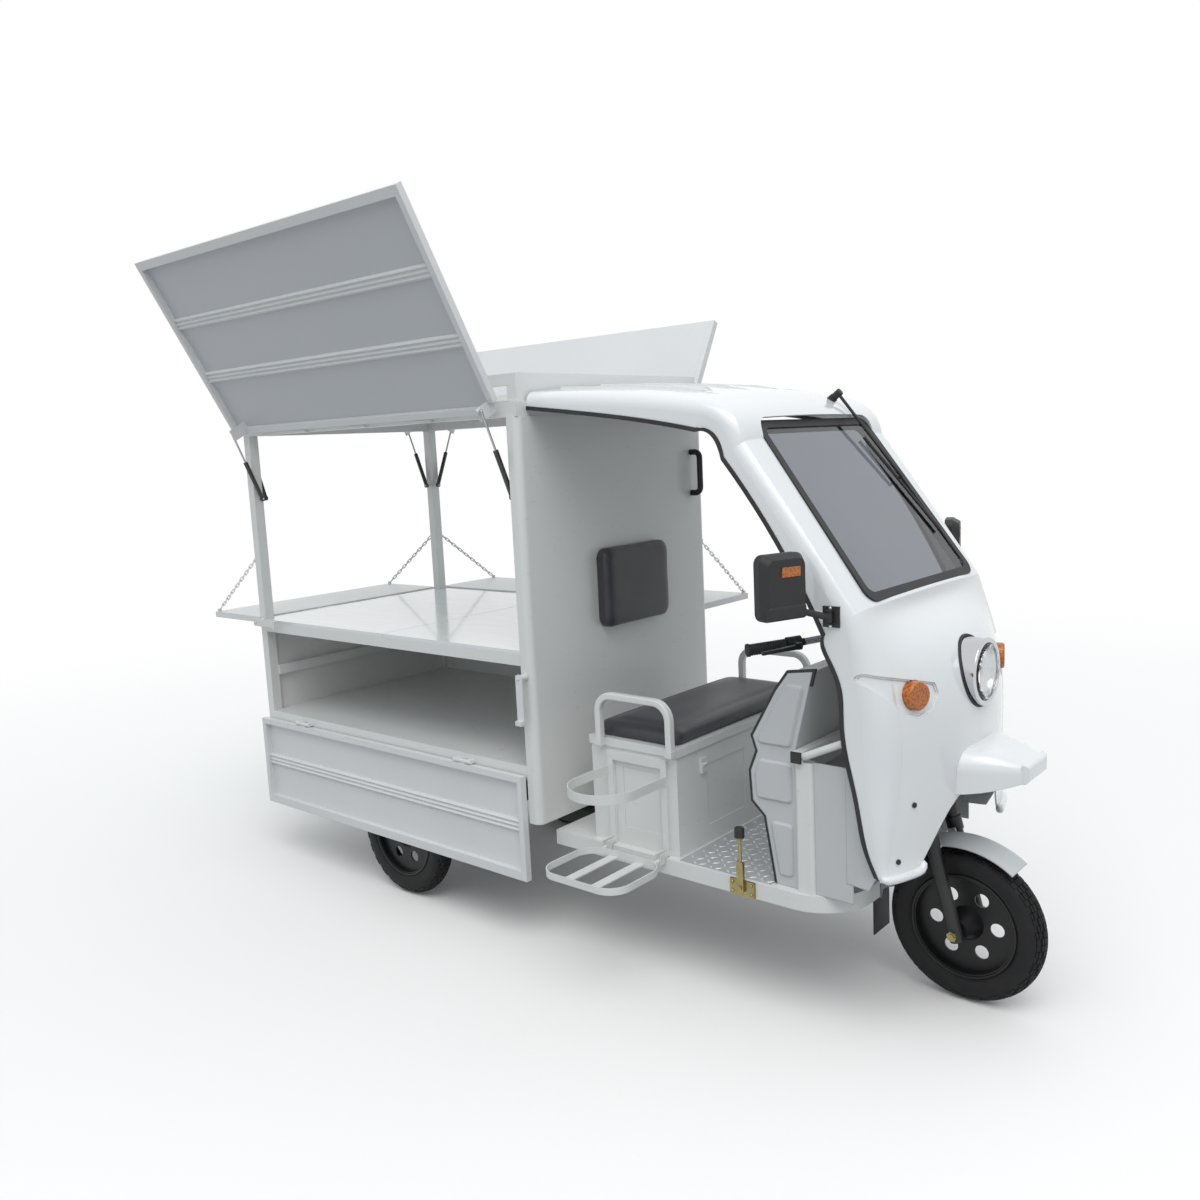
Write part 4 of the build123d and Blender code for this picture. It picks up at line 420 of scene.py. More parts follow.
# Headlight: a chromed bucket and bezel on a black gasket, with a polished bowl and a bulb behind a
# fluted glass lens.
chrome = Paint("polished_chrome", metallic=1.0, base_color=(0.56, 0.575, 0.60))
chrome.set(roughness=0.05 + 0.06 * chrome.noise(50, 3))
lamp_glass = Paint("clear_lamp_lens", roughness=0.05, transmission_weight=1.0, ior=1.46)
flutes = lamp_glass.bands(42.0)
lamp_glass.set(base_color=lamp_glass.mix(flutes, (0.9, 0.92, 0.93), (0.97, 0.98, 0.98)))
lamp_glass.relief(flutes, 0.08, 0.001)
dress("headlight_housing", chrome)
dress("headlight_lens", lamp_glass)
lamp_middle = Vector((1.532, 0, 0.999))
face_ahead = (0, pi / 2, 0)
bowl_r, bowl_gauge, bowl_depth_share = 0.079, 0.0015, 0.55
bpy.ops.object.select_all(action="DESELECT")
bpy.ops.mesh.primitive_uv_sphere_add(segments=40, ring_count=20, radius=bowl_r, rotation=face_ahead)
bowl = bpy.context.object
bowl.name = "headlight_bowl"
bpy.ops.object.transform_apply(location=False, rotation=True, scale=False)
bpy.ops.object.mode_set(mode="EDIT")
bpy.ops.mesh.select_all(action="SELECT")
bpy.ops.mesh.bisect(plane_co=(0, 0, 0), plane_no=(1, 0, 0), clear_outer=True)
bpy.ops.mesh.select_all(action="SELECT")
bpy.ops.transform.resize(value=(bowl_depth_share, 1, 1), center_override=(0, 0, 0))
bpy.ops.transform.translate(value=lamp_middle)
bpy.ops.object.mode_set(mode="OBJECT")
bowl_wall = bowl.modifiers.new("wall", "SOLIDIFY")
bowl_wall.thickness = bowl_gauge
bpy.ops.object.modifier_apply(modifier=bowl_wall.name)
bpy.ops.object.shade_smooth()
bowl.data.materials.append(chrome.material)
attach(bowl, "frame")
bulb_glass = Paint("frosted_bulb", roughness=0.3, specular_ior_level=0.5)
frost = bulb_glass.noise(90, 2)
bulb_glass.set(base_color=bulb_glass.mix(frost, (0.8, 0.78, 0.7), (0.92, 0.9, 0.84)))
bulb_r, bulb_back, neck_stretch, neck_share = 0.011, 0.016, 2.6, 0.8
bpy.ops.object.select_all(action="DESELECT")
bpy.ops.mesh.primitive_uv_sphere_add(segments=20, ring_count=12, radius=bulb_r, rotation=face_ahead)
bulb = bpy.context.object
bulb.name = "headlight_bulb"
bpy.ops.object.transform_apply(location=False, rotation=True, scale=False)
for point in bulb.data.vertices:
    if point.co.x < 0:
        point.co *= Vector((neck_stretch, neck_share, neck_share))
bulb.data.transform(Matrix.Translation(lamp_middle - Vector((bulb_back, 0, 0))))
bpy.ops.object.shade_smooth()
bulb.data.materials.append(bulb_glass.material)
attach(bulb, "frame")


def tube_along(name, knots, reaches, finish):
    """Roll a grid into a round tube that follows the knots, each with its own radius."""
    last, sides, weld_gap = len(knots) - 1, 12, 0.0004
    bpy.ops.object.select_all(action="DESELECT")
    bpy.ops.mesh.primitive_grid_add(x_subdivisions=last, y_subdivisions=sides, size=2)
    tube = bpy.context.object
    tube.name = name
    for point in tube.data.vertices:
        step = round((point.co.x + 1) / 2 * last)
        turn = pi * (point.co.y + 1)
        way = (knots[min(step + 1, last)] - knots[max(step - 1, 0)]).normalized()
        side = way.cross(Vector((1, 0, 0))).normalized()
        point.co = knots[step] + reaches[step] * (side * cos(turn) + way.cross(side) * sin(turn))
    bpy.ops.object.mode_set(mode="EDIT")
    bpy.ops.mesh.select_all(action="SELECT")
    bpy.ops.mesh.remove_doubles(threshold=weld_gap)
    bpy.ops.mesh.normals_make_consistent(inside=False)
    bpy.ops.object.mode_set(mode="OBJECT")
    bpy.ops.object.shade_smooth()
    tube.data.materials.append(finish.material)
    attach(tube, "frame")


def shell_skin(y, z):
    """The cab shell's outer face seen from ahead at this place: a point and its outward direction."""
    well_ahead = 3
    start = Vector((well_ahead, y, z))
    _, point, outward, _ = nodes["cab_shell"].ray_cast(start, Vector((-1, 0, 0)))
    return point, outward


gasket_r, gasket_reach, gasket_steps = 0.0985, 0.0045, 60
gasket_knots = []
for step in range(gasket_steps + 1):
    turn = 2 * pi * step / gasket_steps
    skin, _ = shell_skin(gasket_r * cos(turn), lamp_middle.z + gasket_r * sin(turn))
    gasket_knots.append(skin)
gasket_reaches = [gasket_reach] * len(gasket_knots)
tube_along("headlight_gasket", gasket_knots, gasket_reaches, black_rubber)

# Nose lips: the shell's lower edge is rolled outward into a thick round lip on each side, which turns
# up at the front end.
lip_line = [
    (1.434, 0.4295, 0.507), (1.440, 0.4280, 0.5025), (1.449, 0.4180, 0.4985), (1.458, 0.3950, 0.4960),
    (1.4655, 0.3723, 0.4945), (1.4752, 0.3324, 0.4922), (1.4820, 0.3050, 0.4910),
    (1.4862, 0.2900, 0.4940), (1.4885, 0.2830, 0.5020), (1.4900, 0.2800, 0.5130),
    (1.4905, 0.2790, 0.5200),
]
lip_r = 0.0125
lip_reaches = [0.0, 0.008, 0.0115, *[lip_r] * 5, 0.012, 0.009, 0.0]
for side, name in ((-1, "right_nose_lip"), (1, "left_nose_lip")):
    lip_knots = [Vector((x, side * y, z)) for x, y, z in lip_line]
    tube_along(name, lip_knots, lip_reaches, gel_coat)

# Signals: moulded amber lenses in front, with small prisms like pebbles, and red ones at the tail,
# with upright flutes.
amber_lens = Paint("moulded_amber_lens", roughness=0.12, coat_weight=0.25)
prisms = amber_lens.ramp(amber_lens.cells(150.0, "F1"), 0.1, 0.6)
amber_lens.set(base_color=amber_lens.mix(prisms, (0.22, 0.04, 0.001), (0.55, 0.15, 0.007)))
amber_lens.relief(prisms, 0.4, 0.002)
red_lens = Paint("moulded_red_lens", roughness=0.15, coat_weight=0.5)
red_flutes = red_lens.bands(60.0)
red_lens.set(base_color=red_lens.mix(red_flutes, (0.42, 0.012, 0.01), (0.6, 0.03, 0.02)))
red_lens.relief(red_flutes, 0.4, 0.002)
dress("signal_lamps", amber_lens, red_lens, choose=lambda face: face.center.x < 0)

# Cab floor: a folded white tray with a tread plate laid in the footwell. The plate is light grey and
# is pressed into rows of low lens-shaped lugs, which lean left and right in turn.
tread_plate = Paint("pressed_tread_plate", metallic=0.25, specular_ior_level=0.5)
trodden = tread_plate.ramp(tread_plate.noise(38, 6), 0.35, 0.85)
tread_plate.set(base_color=tread_plate.mix(trodden, (0.50, 0.515, 0.53), (0.43, 0.435, 0.44)))
tread_plate.set(roughness=0.34 + 0.2 * trodden)
tread_plate.relief(tread_plate.noise(300, 2), 0.1, 0.0006, round_edges=0.0015)
tray_top = 0.4005
dress("cab_floor", box_white, tread_plate, choose=lambda face: face.center.z > tray_top)
lug_polish = Paint("tread_lug_polish", metallic=0.4, specular_ior_level=0.5)
lug_rub = lug_polish.noise(55, 4)
lug_polish.set(base_color=lug_polish.mix(lug_rub, (0.70, 0.71, 0.72), (0.82, 0.825, 0.83)))
lug_polish.set(roughness=0.2 + 0.15 * lug_rub)
lug_size, lug_sink, lug_lean = (0.0255, 0.0072, 0.0044), 0.0002, radians(45)
first_lug = (0.807, -0.405, 0.4025)
lug_pitch = 0.030
lug_columns, lug_rows = 5, 14
bpy.ops.object.select_all(action="DESELECT")
bpy.ops.mesh.primitive_uv_sphere_add(segments=10, ring_count=6, radius=0.5)
tread_lugs = bpy.context.object
tread_lugs.name = "tread_lugs"
bpy.ops.object.mode_set(mode="EDIT")
bpy.ops.mesh.select_all(action="SELECT")
bpy.ops.transform.resize(value=lug_size)
bpy.ops.mesh.bisect(plane_co=(0, 0, -lug_sink), plane_no=(0, 0, 1), clear_inner=True, use_fill=True)
bpy.ops.mesh.select_all(action="SELECT")
bpy.ops.transform.rotate(value=lug_lean, orient_axis="Z", center_override=(0, 0, 0))
bpy.ops.mesh.duplicate()
bpy.ops.transform.rotate(value=2 * lug_lean, orient_axis="Z", center_override=(0, 0, 0))
bpy.ops.transform.translate(value=(lug_pitch, 0, 0))
bpy.ops.mesh.select_all(action="SELECT")
bpy.ops.mesh.duplicate()
bpy.ops.transform.translate(value=(-lug_pitch, lug_pitch, 0))
bpy.ops.mesh.select_all(action="SELECT")
bpy.ops.transform.translate(value=first_lug)
bpy.ops.mesh.normals_make_consistent(inside=False)
bpy.ops.object.mode_set(mode="OBJECT")
for axis, count in ((0, lug_columns), (1, lug_rows)):
    spread = tread_lugs.modifiers.new("rows", "ARRAY")
    spread.count = count
    spread.use_relative_offset = False
    spread.use_constant_offset = True
    spread.constant_offset_displace = [2 * lug_pitch if axis == i else 0 for i in range(3)]
    bpy.ops.object.modifier_apply(modifier=spread.name)
bpy.ops.object.shade_smooth_by_angle(angle=radians(50))
tread_lugs.data.materials.append(lug_polish.material)
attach(tread_lugs, "frame")

# Leg shield: a light grey moulded panel with soft folds and a fine grain. The side liners of the white
# front frame get the same grey as painted shade, standing in for the shadow that falls on them.
grey_moulding = Paint("light_grey_moulding", specular_ior_level=0.45)
grain = grey_moulding.noise(160, 3)
grey_tone = grey_moulding.noise(3, 2)
grey_moulding.set(base_color=grey_moulding.mix(grey_tone, (0.53, 0.54, 0.545), (0.60, 0.605, 0.61)))
grey_moulding.set(roughness=0.38 + 0.15 * grain)
grey_moulding.relief(grain, 0.12, 0.0006, round_edges=0.006)
dress("dash_panel", grey_moulding)
liner_area, liner_top = 0.01, 0.79
square_on = 0.9


def on_shaded_side_liner(face):
    return face.area > liner_area and abs(face.normal.y) > square_on and face.center.z < liner_top


# Painted shade: the white front frame's side liners take the grey in place of the shade over them.
dress("front_frame", box_white, grey_moulding, choose=on_shaded_side_liner)

# Inner liners: a folded sheet on each side that closes the gap between the front frame's liner and
# the rubber edge of the cab.
liner_edge = [
    (0.455, 1.395), (0.50, 1.420), (0.55, 1.403), (0.60, 1.387), (0.65, 1.377), (0.70, 1.370),
    (0.76, 1.360),
]
liner_back, liner_fold, flange_width = 1.322, 1.334, 0.012
liner_y, bend_y, edge_y = 0.4035, 0.4125, 0.4170
liner_gauge = 0.002
rises, folds = len(liner_edge) - 1, 3
for side, name in ((-1, "right_inner_liner"), (1, "left_inner_liner")):
    bpy.ops.object.select_all(action="DESELECT")
    bpy.ops.mesh.primitive_grid_add(x_subdivisions=rises, y_subdivisions=folds, size=2)
    liner = bpy.context.object
    liner.name = name
    for point in liner.data.vertices:
        height, edge_x = liner_edge[round((point.co.x + 1) / 2 * rises)]
        across = round((point.co.y + 1) / 2 * folds)
        spot_x = (liner_back, liner_fold, edge_x - flange_width, edge_x)[across]
        point.co = (spot_x, side * (liner_y, liner_y, bend_y, edge_y)[across], height)
    sheet = liner.modifiers.new("sheet", "SOLIDIFY")
    sheet.thickness = liner_gauge
    bpy.ops.object.modifier_apply(modifier=sheet.name)
    bpy.ops.object.mode_set(mode="EDIT")
    bpy.ops.mesh.select_all(action="SELECT")
    bpy.ops.mesh.normals_make_consistent(inside=False)
    bpy.ops.object.mode_set(mode="OBJECT")
    liner.data.materials.append(grey_moulding.material)
    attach(liner, "frame")

# Seat box, lid, bottle rack and small fittings: folded white sheet and bent tube, black grained
# plastic, a white plastic strap, and yellow zinc plate on the parking brake and its bracket.
for node in ("seat_box", "seat_lid", "bottle_ring"):
    dress(node, box_white)
black_plastic = Paint("grained_black_plastic", specular_ior_level=0.4)
plastic_grain = black_plastic.noise(340, 3)
black_plastic.set(base_color=black_plastic.mix(plastic_grain, (0.012, 0.012, 0.013), (0.03, 0.03, 0.031)))
black_plastic.set(roughness=0.42 + 0.2 * plastic_grain)
black_plastic.relief(plastic_grain, 0.25, 0.0006, round_edges=0.002)
for node in ("power_pack", "cab_fittings", "wiper", "horn_button"):
    dress(node, black_plastic)
strap_white = Paint("white_strap_plastic", specular_ior_level=0.4)
strap_tone = strap_white.noise(30, 4)
strap_white.set(base_color=strap_white.mix(strap_tone, (0.66, 0.66, 0.64), (0.76, 0.76, 0.74)))
strap_white.set(roughness=0.45 + 0.1 * strap_white.noise(80, 2))
dress("bottle_strap", strap_white)
yellow_zinc = Paint("yellow_zinc_plate", metallic=1.0)
rainbow = yellow_zinc.noise(45, 4)
yellow_zinc.set(base_color=yellow_zinc.mix(rainbow, (0.24, 0.20, 0.085), (0.42, 0.36, 0.19)))
yellow_zinc.set(roughness=0.28 + 0.2 * rainbow)
zinc_top, knob_foot = 0.55, 0.535
dress("zinc_fittings", yellow_zinc, box_white, choose=lambda face: face.center.z > zinc_top)
dress("parking_brake_lever", yellow_zinc, black_plastic, choose=lambda face: face.center.z > knob_foot)

# Steering: a black stem and crown with chromed stanchions, and a chromed handlebar with black controls
# at both ends. The brake levers and fork legs are black, with zinc nuts on the front axle.
stanchion_y, crown_foot, controls_y = 0.06, 0.63, 0.204
front_axle_x, axle_z, leg_side, nut_r = 1.497, 0.233, 0.1047, 0.018


def on_stanchion(face):
    return abs(face.center.y) > stanchion_y and face.center.z < crown_foot


def on_axle_nut(face):
    from_axle = face.center.xz - Vector((front_axle_x, axle_z))
    return abs(face.center.y) > leg_side and from_axle.length < nut_r


dress("steering_stem", black_paint, chrome, choose=on_stanchion)
dress("handlebar", chrome, black_plastic, choose=lambda face: abs(face.center.y) > controls_y)
dress("throttle_grip", black_rubber)
for node in ("brake_lever_right", "brake_lever_left"):
    dress(node, black_paint)
dress("fork_legs", black_paint, yellow_zinc, choose=on_axle_nut)

# Handlebar grips: soft black rubber sleeves with raised rings and a collar at the outer end. The right
# one turns as the throttle, the left one is glued to the bar.


def placed_copy(blank, name, stand):
    """A copy of a modelled blank, with a mesh of its own, moved to where it stands."""
    placed = blank.copy()
    placed.data = blank.data.copy()
    placed.name = name
    placed.data.transform(stand)
    scene.collection.objects.link(placed)
    return placed


def standing(spot, way):
    """The move that takes a blank to a spot and turns its Z axis along a direction."""
    return Matrix.Translation(spot) @ way.to_track_quat("Z", "Y").to_matrix().to_4x4()


grip_start, grip_way = Vector((0.974, -0.330, 1.067)), Vector((113, 135, 13)).normalized()
grip_length, grip_r, grip_overlap = 0.1205, 0.0163, 0.005
collar_r, collar_length, collar_slope = 0.0196, 0.008, 0.001
ring_rise, ring_gap, ring_up, ring_width, ring_down = 0.0013, 0.0030, 0.0006, 0.0034, 0.0008
ring_pitch = ring_gap + ring_up + ring_width + ring_down
ring_r = grip_r + ring_rise
outer_cap_r, inner_cap_r = grip_r * 0.6, grip_r * 0.75
steps = [(0.0, collar_r), (collar_length, collar_r), (collar_slope, grip_r)]
while sum(step for step, reach in steps) + ring_pitch < grip_length:
    steps += [(ring_gap, grip_r), (ring_up, ring_r), (ring_width, ring_r), (ring_down, grip_r)]
steps += [(grip_length - sum(step for step, reach in steps), grip_r), (0.0, inner_cap_r)]
bpy.ops.object.select_all(action="DESELECT")
bpy.ops.mesh.primitive_circle_add(vertices=32, radius=outer_cap_r, fill_type="NGON")
grip_blank = bpy.context.object
reach_now = outer_cap_r
bpy.ops.object.mode_set(mode="EDIT")
bpy.ops.mesh.select_mode(type="FACE")
bpy.ops.mesh.select_all(action="SELECT")
for step, reach in steps:
    bpy.ops.mesh.extrude_region_move(TRANSFORM_OT_translate={"value": (0, 0, step)})
    bpy.ops.transform.resize(value=(reach / reach_now, reach / reach_now, 1))
    reach_now = reach
bpy.ops.mesh.select_all(action="SELECT")
bpy.ops.mesh.remove_doubles(threshold=0.00001)
bpy.ops.mesh.normals_make_consistent(inside=False)
bpy.ops.object.mode_set(mode="OBJECT")
bpy.ops.object.shade_smooth_by_angle(angle=radians(40))
grip_blank.data.materials.append(black_rubber.material)
for side, body, name in ((-1, "throttle", "right_grip_sleeve"), (1, "steering", "left_grip_sleeve")):
    way = Vector((grip_way.x, -side * grip_way.y, grip_way.z))
    outer_end = Vector((grip_start.x, -side * grip_start.y, grip_start.z)) - way * grip_overlap
    sleeve = placed_copy(grip_blank, name, standing(outer_end, way))
    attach(sleeve, body)
    if body == "throttle":
        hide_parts("throttle_grip")
bpy.data.objects.remove(grip_blank)

# Front mudguard: an arc of grey moulding over the front wheel, with a flap of black rubber at its
# lower rear end.
flap_x = 1.2268
dress("front_mudguard", grey_moulding, black_rubber, choose=lambda face: face.center.x < flap_x)

# Mirrors: black grained housings with a flat glass let into the back and an amber lamp in front.
# Each folds on a pin in the bracket that is bolted to the edge of the cab.
mirror_glass = Paint("mirror_glass", metallic=1.0, base_color=(0.86, 0.87, 0.88))
mirror_glass.set(roughness=0.02 + 0.02 * mirror_glass.noise(20, 2))
house_x, house_y, house_z, house_turn = 1.227, 0.552, 1.296, radians(20)
glass_x, glass_half_y, glass_half_z = -0.0215, 0.0605, 0.0755
amber_x, amber_y, amber_z = 0.0225, -0.012, 0.042
amber_half_y, amber_half_z = 0.031, 0.0135


def mirror_finish(face, hand):
    """0 on the housing, 1 on the glass and 2 on the lamp, read in the housing's own directions."""
    turn = Matrix.Rotation(-hand * house_turn, 3, "Z")
    here = turn @ (face.center - Vector((house_x, house_y * hand, house_z)))
    faces_back = here.x < glass_x and (turn @ face.normal).x < -square_on
    if faces_back and abs(here.y) < glass_half_y and abs(here.z) < glass_half_z:
        return 1
    beside, above = abs(here.y - amber_y * hand), abs(here.z - amber_z)
    if here.x > amber_x and beside < amber_half_y and above < amber_half_z:
        return 2
    return 0


for node, hand in (("right_mirror", -1), ("left_mirror", 1)):
    dress(
        node, black_plastic, mirror_glass, amber_lens, choose=lambda face: mirror_finish(face, hand)
    )

# Tyres: moulded rubber with a block tread that wraps over the shoulders, plain sidewalls with two
# raised rings and square beads that sit against the rim's flanges. Each turns with its rim.
tyre_rubber = Paint("tyre_rubber", specular_ior_level=0.3)
tyre_dust = tyre_rubber.ramp(tyre_rubber.noise(18, 6), 0.45, 0.85)
tyre_rubber.set(base_color=tyre_rubber.mix(tyre_dust, (0.008, 0.008, 0.009), (0.028, 0.027, 0.026)))
tyre_rubber.set(roughness=0.55 + 0.3 * tyre_dust)
rear_wheel_y = 0.45
wheel_spots = {
    "front": (front_axle_x, 0.0, axle_z),
    "rear_right": (rear_axle_x, -rear_wheel_y, axle_z),
    "rear_left": (rear_axle_x, rear_wheel_y, axle_z),
}
for wheel in wheel_spots:
    dress(wheel + "_tyre", tyre_rubber)
on_axle = (pi / 2, 0, 0)
tyre_r, section_r, shoulder_bulge = 0.193, 0.0355, 0.12
bead_half, bead_depth, squareness = 0.0397, 0.0412, 0.6
tread_steps, lane_width, tread_foot = 72, 0.0072, 0.2135
block_inset, block_rise = 0.0011, 0.0042
sidewall_y, sidewall_rings = 0.030, ((0.178, 0.184), (0.164, 0.169))
wall_ring_inset, wall_ring_rise = 0.0008, 0.0012
inner_half = 0.001
bpy.ops.object.select_all(action="DESELECT")
bpy.ops.mesh.primitive_torus_add(
    major_segments=tread_steps,
    minor_segments=32,
    major_radius=tyre_r,
    minor_radius=section_r,
    rotation=on_axle,
)
bpy.ops.object.transform_apply(location=False, rotation=True, scale=False)
tyre_blank = bpy.context.object
for point in tyre_blank.data.vertices:
    spread = abs(point.co.y) / section_r
    reach = point.co.xz.length
    inward = max(0.0, (tyre_r - reach) / section_r)
    point.co.y *= 1.0 + shoulder_bulge * spread
    if inward > inner_half:
        point.co.y = copysign(bead_half * spread**squareness, point.co.y)
        draw_in = (tyre_r - bead_depth * inward**squareness) / reach
        point.co.x *= draw_in
        point.co.z *= draw_in
for face in tyre_blank.data.polygons:
    angle = Vector((face.center.x, 0, face.center.z)).angle((1, 0, 0))
    step = int(round((angle / (2 * pi)) * tread_steps - 0.5))
    lane = int(round(face.center.y / lane_width))
    face.select = face.center.xz.length > tread_foot and (lane == 0 or (step + abs(lane)) % 3 != 0)
bpy.ops.object.mode_set(mode="EDIT")
bpy.ops.mesh.select_mode(type="FACE")
bpy.ops.mesh.inset(use_individual=True, thickness=block_inset, depth=block_rise)
bpy.ops.object.mode_set(mode="OBJECT")
for face in tyre_blank.data.polygons:
    in_ring = any(low < face.center.xz.length < high for low, high in sidewall_rings)
    face.select = in_ring and abs(face.center.y) > sidewall_y
bpy.ops.object.mode_set(mode="EDIT")
bpy.ops.mesh.inset(use_individual=False, thickness=wall_ring_inset, depth=wall_ring_rise)
bpy.ops.object.mode_set(mode="OBJECT")
bpy.ops.object.shade_smooth_by_angle(angle=radians(32))
tyre_blank.data.materials.append(tyre_rubber.material)
for wheel, spot in wheel_spots.items():
    tyre = placed_copy(tyre_blank, wheel + "_block_tyre", Matrix.Translation(spot))
    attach(tyre, wheel + "_wheel")
    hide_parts(wheel + "_tyre")
bpy.data.objects.remove(tyre_blank)

# Rims: pressed steel in black enamel. The rolled lip on each side, which holds the tyre's bead, is
# modelled here as a pair of flanges.
rim_paint = Paint("black_rim_enamel", specular_ior_level=0.4)
rim_tone = rim_paint.noise(30, 4)
rim_paint.set(base_color=rim_paint.mix(rim_tone, (0.005, 0.005, 0.006), (0.012, 0.012, 0.013)))
rim_paint.set(roughness=0.32 + 0.2 * rim_paint.noise(60, 3))
for wheel in wheel_spots:
    dress(wheel + "_rim", rim_paint)
flange_r, flange_lip_r, flange_flatten, flange_y = 0.1545, 0.0042, 0.75, 0.0325
bpy.ops.object.select_all(action="DESELECT")
bpy.ops.mesh.primitive_torus_add(
    major_segments=72,
    minor_segments=12,
    major_radius=flange_r,
    minor_radius=flange_lip_r,
    rotation=on_axle,
)
bpy.ops.object.transform_apply(location=False, rotation=True, scale=False)
flange_blank = bpy.context.object
bpy.ops.object.mode_set(mode="EDIT")
bpy.ops.mesh.select_all(action="SELECT")
bpy.ops.transform.resize(value=(1, flange_flatten, 1), center_override=(0, 0, 0))
bpy.ops.transform.translate(value=(0, -flange_y, 0))
bpy.ops.mesh.duplicate()
bpy.ops.transform.translate(value=(0, 2 * flange_y, 0))
bpy.ops.object.mode_set(mode="OBJECT")
bpy.ops.object.shade_smooth()
flange_blank.data.materials.append(rim_paint.material)
for wheel, spot in wheel_spots.items():
    flanges = placed_copy(flange_blank, wheel + "_rim_flanges", Matrix.Translation(spot))
    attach(flanges, wheel + "_wheel")
bpy.data.objects.remove(flange_blank)

# Seat cushion and backrest: foam blocks in charcoal vinyl, drawn tight over the edges. The cushion is
# stapled to the lid and the backrest to the stall's front wall, so the side that is fixed stays flat.
vinyl = Paint("charcoal_vinyl", specular_ior_level=0.45, sheen_weight=0.1)
hide = vinyl.cells(380.0, "DISTANCE_TO_EDGE")
creased = vinyl.noise(9, 4, (1, 0.35, 1))
vinyl.set(base_color=vinyl.mix(vinyl.noise(12, 4), (0.030, 0.032, 0.038), (0.052, 0.054, 0.062)))
vinyl.set(roughness=0.34 + 0.22 * creased)
vinyl.relief(0.35 * hide + creased, 0.35, 0.0025)
pad_rise = 0.006
pad_grid, pad_lift = 0.0055, 0.0003
air_pressure, air_frames = 4.0, 20
flat_share, crown_share = 0.4, 0.72
crown_passes, skin_passes = 60, 5


def stuffed(node, name, body, fixed_axis):
    """Pad grown from a CAD solid: remeshed, filled out by air pressure, held flat on its fixed side."""
    pad = merged_copy(node, name)
    low = Vector([min(v.co[i] for v in pad.data.vertices) for i in range(3)])
    high = Vector([max(v.co[i] for v in pad.data.vertices) for i in range(3)])
    middle = (low + high) / 2
    shrink = Vector([1 - 2 * pad_rise / (high[i] - low[i]) for i in range(3)])
    shrink[fixed_axis] = 1 - pad_rise / (high[fixed_axis] - low[fixed_axis])
    middle[fixed_axis] = low[fixed_axis]
    for point in pad.data.vertices:
        point.co = Vector([middle[i] + (point.co[i] - middle[i]) * shrink[i] for i in range(3)])
    grid = pad.modifiers.new("even_grid", "REMESH")
    grid.mode = "VOXEL"
    grid.voxel_size = pad_grid
    bpy.ops.object.modifier_apply(modifier=grid.name)
    before = [point.co.copy() for point in pad.data.vertices]
    air = pad.modifiers.new("air", "CLOTH")
    air.settings.use_pressure = True
    air.settings.uniform_pressure_force = air_pressure
    air.settings.effector_weights.gravity = 0.0
    air.settings.quality = 4
    air.point_cache.frame_start = 1
    air.point_cache.frame_end = air_frames
    for step in range(1, air_frames + 1):
        scene.frame_set(step)
    filled = pad.evaluated_get(bpy.context.evaluated_depsgraph_get()).to_mesh()
    after = [point.co.copy() for point in filled.vertices]
    pad.evaluated_get(bpy.context.evaluated_depsgraph_get()).to_mesh_clear()
    pad.modifiers.remove(air)
    scene.frame_set(1)
    for point, start, end in zip(pad.data.vertices, before, after):
        move = end - start
        if move.length > pad_rise:
            move *= pad_rise / move.length
        point.co = start + move
    for point in pad.data.vertices:
        point.co = Vector([min(max(point.co[i], low[i]), high[i]) for i in range(3)])
        if point.co[fixed_axis] < low[fixed_axis] + pad_rise * flat_share:
            point.co[fixed_axis] = low[fixed_axis] + pad_lift
    crown = pad.vertex_groups.new(name="crown")
    crown_start = low[fixed_axis] + crown_share * (high[fixed_axis] - low[fixed_axis])
    crown.add([v.index for v in pad.data.vertices if v.co[fixed_axis] > crown_start], 1.0, "REPLACE")
    for group, passes in (("crown", crown_passes), ("", skin_passes)):
        smooth = pad.modifiers.new("even_skin", "SMOOTH")
        smooth.factor = 0.5
        smooth.iterations = passes
        smooth.vertex_group = group
        bpy.ops.object.modifier_apply(modifier=smooth.name)
    finer = pad.modifiers.new("finer", "SUBSURF")
    finer.levels = 1
    finer.render_levels = 1
    bpy.ops.object.modifier_apply(modifier=finer.name)
    bpy.ops.object.shade_smooth()
    pad.data.materials.clear()
    pad.data.materials.append(vinyl.material)
    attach(pad, body)
    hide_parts(node)


stuffed("seat_cushion", "vinyl_cushion", "seat", fixed_axis=2)
stuffed("backrest_pad", "vinyl_backrest", "frame", fixed_axis=0)

# Screws and bolts: black pan-head screws pull the shell onto its frame, and hexagon bolts hold the
# mirror brackets and the parking brake's plate. Each head stands square on the skin that it clamps.
head_sink = 0.0006


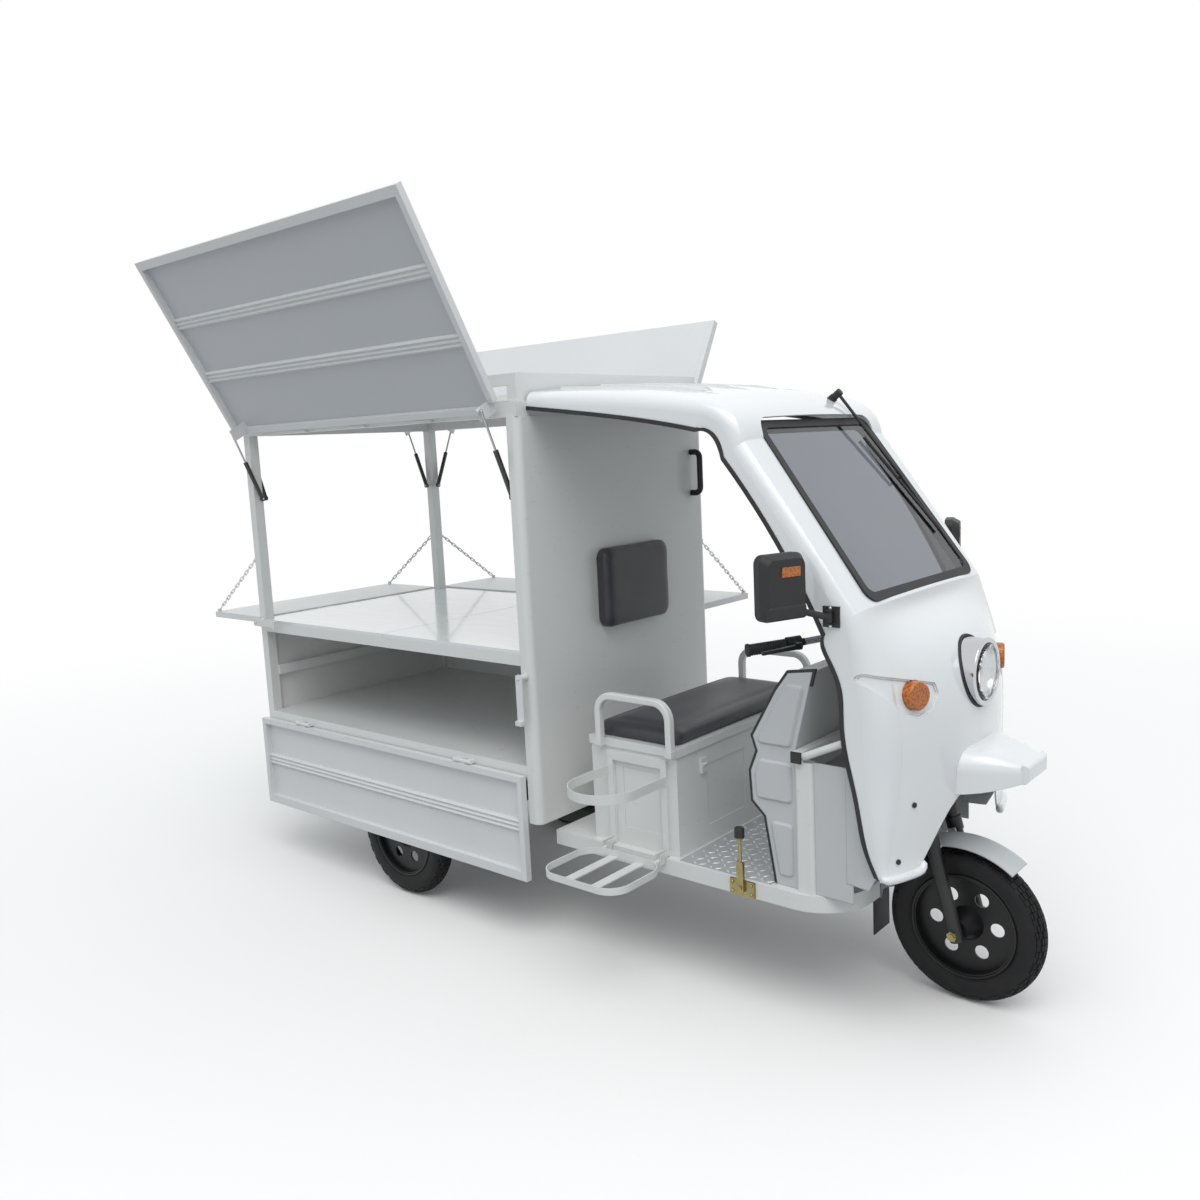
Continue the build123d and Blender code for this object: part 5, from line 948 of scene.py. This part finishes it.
def fastener(name, finish, spots, sides, reach, height):
    """Heads of one kind, modelled once and copied to each spot, as (point, outward direction)."""
    chamfer, dome, flat = reach * 0.22, height * 0.35, reach * 0.36
    socket_wall, socket_depth = reach * 0.03, height * 0.4
    bpy.ops.object.select_all(action="DESELECT")
    bpy.ops.mesh.primitive_cylinder_add(vertices=sides, radius=reach, depth=height)
    head = bpy.context.object
    bpy.ops.object.mode_set(mode="EDIT")
    bpy.ops.mesh.select_mode(type="FACE")
    bpy.ops.mesh.select_all(action="SELECT")
    bpy.ops.transform.translate(value=(0, 0, height / 2 - head_sink))
    bpy.ops.mesh.select_all(action="DESELECT")
    bpy.ops.object.mode_set(mode="OBJECT")
    for face in head.data.polygons:
        face.select = face.normal.z > square_on
    bpy.ops.object.mode_set(mode="EDIT")
    bpy.ops.mesh.inset(thickness=chamfer, depth=dome)
    bpy.ops.mesh.inset(thickness=flat, depth=0.0)
    bpy.ops.mesh.inset(thickness=socket_wall, depth=-socket_depth)
    bpy.ops.object.mode_set(mode="OBJECT")
    bpy.ops.object.shade_smooth_by_angle(angle=radians(35))
    head.data.materials.append(finish.material)
    for number, (point, outward) in enumerate(spots):
        placed = placed_copy(head, f"{name}_{number + 1}", standing(point, outward))
        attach(placed, "frame")
    bpy.data.objects.remove(head)


upper_screw, lower_screw = (0.3199, 0.6868), (0.372, 0.5385)
skin_spots = [shell_skin(side * y, z) for y, z in (upper_screw, lower_screw) for side in (-1, 1)]
fastener(
    "shell_screw", black_plastic, skin_spots, sides=20, reach=0.0075, height=0.0045
)
bracket_x, bracket_y, bracket_z, bracket_rise = 1.305, 0.438, 1.206, 0.0238
bracket_spots = [
    (Vector((bracket_x, side * bracket_y, bracket_z + rise)), Vector((0, side, 0)))
    for side in (-1, 1)
    for rise in (-bracket_rise, bracket_rise)
]
fastener("bracket_bolt", bright_zinc, bracket_spots, sides=6, reach=0.0045, height=0.004)
plate_x, plate_y, plate_half, plate_rows = 0.999, -0.438, 0.033, (0.362, 0.390)
plate_spots = [
    (Vector((plate_x + along, plate_y, z)), Vector((0, -1, 0)))
    for z in plate_rows
    for along in (-plate_half, plate_half)
]
fastener("brake_plate_bolt", yellow_zinc, plate_spots, sides=6, reach=0.0055, height=0.004)
